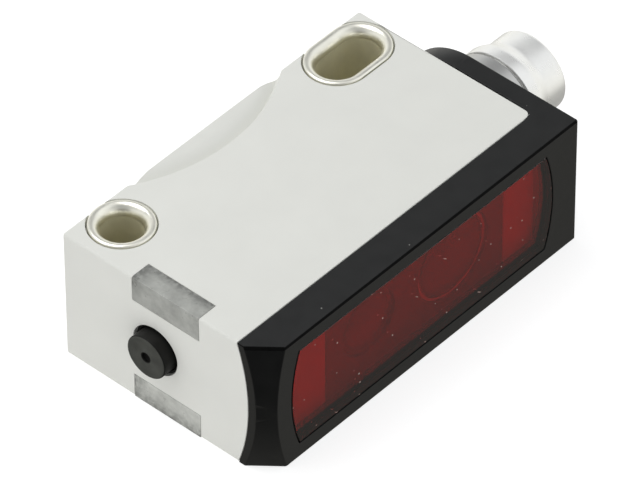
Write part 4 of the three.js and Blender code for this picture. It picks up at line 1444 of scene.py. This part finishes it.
def build_lenses(settings):
    """Both lenses are dark against the carrier; only the receiver's rim gets a pale finish, a painted
    highlight.
    """
    glass = moulded_plastic("lens", settings.carrier_colour, 0.12, grain=1.0, depth=0.0005, spread=0.02)
    bright = moulded_plastic("bright lens edge", (0.75, 0.72, 0.68), 0.3, spread=0.05)
    for lens in LENSES:
        disc = lens.body()
        finish(disc, f"{lens.name}_lens_disc", "housing", glass.material, [f"{lens.name}_lens"])
        if lens.name == "receiver":
            # Painted highlight: a pale rim on the receiver lens alone.
            paint(disc, bright.material, lens.on_rim)


def build_electronics(settings):
    board = moulded_plastic("solder mask", settings.board_colour, 0.4, spread=0.15).material
    tin = plated_metal("tin plate", (0.62, 0.63, 0.64), 0.3).material
    case = moulded_plastic("chip case", (0.022, 0.023, 0.025), 0.5, spread=0.1).material
    tantalum = moulded_plastic("capacitor case", (0.6, 0.29, 0.05), 0.45, spread=0.05).material
    plastic = moulded_plastic("plunger plastic", (0.015, 0.015, 0.017), 0.5).material
    green = moulded_plastic("green lamp resin", (0.3, 0.65, 0.3), 0.3, spread=0.08).material
    yellow = moulded_plastic("yellow lamp resin", (0.8, 0.6, 0.12), 0.3, spread=0.08).material
    red = moulded_plastic("red lamp resin", (0.65, 0.12, 0.1), 0.25, spread=0.08).material
    dressed = {
        board: ("main_board", "optics_board"),
        tin: ("shield_can", "tact_switch"),
        case: ("signal_processor", "voltage_regulator", "output_transistor_1", "output_transistor_2",
               "surge_suppressor", "receiver_diode"),
        tantalum: ("storage_capacitor",),
        plastic: ("switch_plunger",),
        green: ("status_led_green_upper", "status_led_green_lower"),
        yellow: ("status_led_yellow_upper", "status_led_yellow_lower"),
        red: ("emitter_led",),
    }
    for material, nodes in dressed.items():
        for node in nodes:
            dress_node(node, material)


# ---------------------------------------------------------------- operators and panel


class SENSOR_OT_stage(bpy.types.Operator):
    """Make the floor, the soft light and the camera"""

    bl_idname = "sensor.build_stage"
    bl_label = "Stage"

    def execute(self, context):
        build_stage(context.scene.sensor_stage)
        return {"FINISHED"}


class SENSOR_OT_housing(bpy.types.Operator):
    """Make the pale housing shell"""

    bl_idname = "sensor.build_housing"
    bl_label = "Housing Shell"

    def execute(self, context):
        build_housing(context.scene.sensor_housing)
        return {"FINISHED"}


class SENSOR_OT_cover(bpy.types.Operator):
    """Make the black front cover"""

    bl_idname = "sensor.build_cover"
    bl_label = "Front Cover"

    def execute(self, context):
        build_cover(context.scene.sensor_cover)
        return {"FINISHED"}


class SENSOR_OT_window(bpy.types.Operator):
    """Make the red window pane"""

    bl_idname = "sensor.build_window"
    bl_label = "Window Pane"

    def execute(self, context):
        build_window(context.scene.sensor_window)
        return {"FINISHED"}


class SENSOR_OT_sleeves(bpy.types.Operator):
    """Make the round and the slotted mounting sleeve"""

    bl_idname = "sensor.build_sleeves"
    bl_label = "Mounting Sleeves"

    def execute(self, context):
        build_sleeves(context.scene.sensor_sleeves)
        return {"FINISHED"}


class SENSOR_OT_button(bpy.types.Operator):
    """Make the teach button and its seal"""

    bl_idname = "sensor.build_button"
    bl_label = "Teach Button"

    def execute(self, context):
        build_button(context.scene.sensor_button)
        return {"FINISHED"}


class SENSOR_OT_guides(bpy.types.Operator):
    """Make the two light guides at the button end"""

    bl_idname = "sensor.build_guides"
    bl_label = "Light Guides"

    def execute(self, context):
        build_guides(context.scene.sensor_guides)
        return {"FINISHED"}


class SENSOR_OT_plug(bpy.types.Operator):
    """Make the plug shell, its seal, pin holder and pins"""

    bl_idname = "sensor.build_plug"
    bl_label = "Plug"

    def execute(self, context):
        build_plug(context.scene.sensor_plug)
        return {"FINISHED"}


class SENSOR_OT_optics(bpy.types.Operator):
    """Make the optics frame, the lens carrier and the lenses"""

    bl_idname = "sensor.build_optics"
    bl_label = "Optics"

    def execute(self, context):
        build_optics(context.scene.sensor_inside)
        return {"FINISHED"}


class SENSOR_OT_electronics(bpy.types.Operator):
    """Finish the circuit boards and what they carry"""

    bl_idname = "sensor.build_electronics"
    bl_label = "Electronics"

    def execute(self, context):
        build_electronics(context.scene.sensor_inside)
        return {"FINISHED"}


SETTINGS = {
    "sensor_stage": StageSettings,
    "sensor_housing": HousingSettings,
    "sensor_cover": CoverSettings,
    "sensor_window": WindowSettings,
    "sensor_sleeves": SleeveSettings,
    "sensor_button": ButtonSettings,
    "sensor_guides": GuideSettings,
    "sensor_plug": PlugSettings,
    "sensor_inside": InsideSettings,
}
OPERATORS = (
    SENSOR_OT_stage,
    SENSOR_OT_housing,
    SENSOR_OT_cover,
    SENSOR_OT_window,
    SENSOR_OT_sleeves,
    SENSOR_OT_button,
    SENSOR_OT_guides,
    SENSOR_OT_plug,
    SENSOR_OT_optics,
    SENSOR_OT_electronics,
)


class SENSOR_PT_pieces(bpy.types.Panel):
    """Lists the builders of the sensor's pieces with their settings"""

    bl_idname = "SENSOR_PT_pieces"
    bl_label = "Sensor Pieces"
    bl_space_type = "VIEW_3D"
    bl_region_type = "UI"
    bl_category = "Sensor"

    def draw(self, context):
        for operator in OPERATORS:
            self.layout.operator(operator.bl_idname)
        for name, group in SETTINGS.items():
            column = self.layout.column(heading=group.__name__)
            for key in group.__annotations__:
                column.prop(getattr(context.scene, name), key)


def register():
    for group in SETTINGS.values():
        bpy.utils.register_class(group)
    for operator in OPERATORS:
        bpy.utils.register_class(operator)
    bpy.utils.register_class(SENSOR_PT_pieces)
    for name, group in SETTINGS.items():
        setattr(bpy.types.Scene, name, bpy.props.PointerProperty(type=group))


def unregister():
    for name in SETTINGS:
        delattr(bpy.types.Scene, name)
    bpy.utils.unregister_class(SENSOR_PT_pieces)
    for operator in reversed(OPERATORS):
        bpy.utils.unregister_class(operator)
    for group in reversed(SETTINGS.values()):
        bpy.utils.unregister_class(group)


def main():
    register()
    bpy.ops.sensor.build_stage()
    bpy.ops.sensor.build_housing()
    bpy.ops.sensor.build_cover()
    bpy.ops.sensor.build_window()
    bpy.ops.sensor.build_sleeves()
    bpy.ops.sensor.build_button()
    bpy.ops.sensor.build_guides()
    bpy.ops.sensor.build_plug()
    bpy.ops.sensor.build_optics()
    bpy.ops.sensor.build_electronics()


if __name__ == "__main__":
    main()
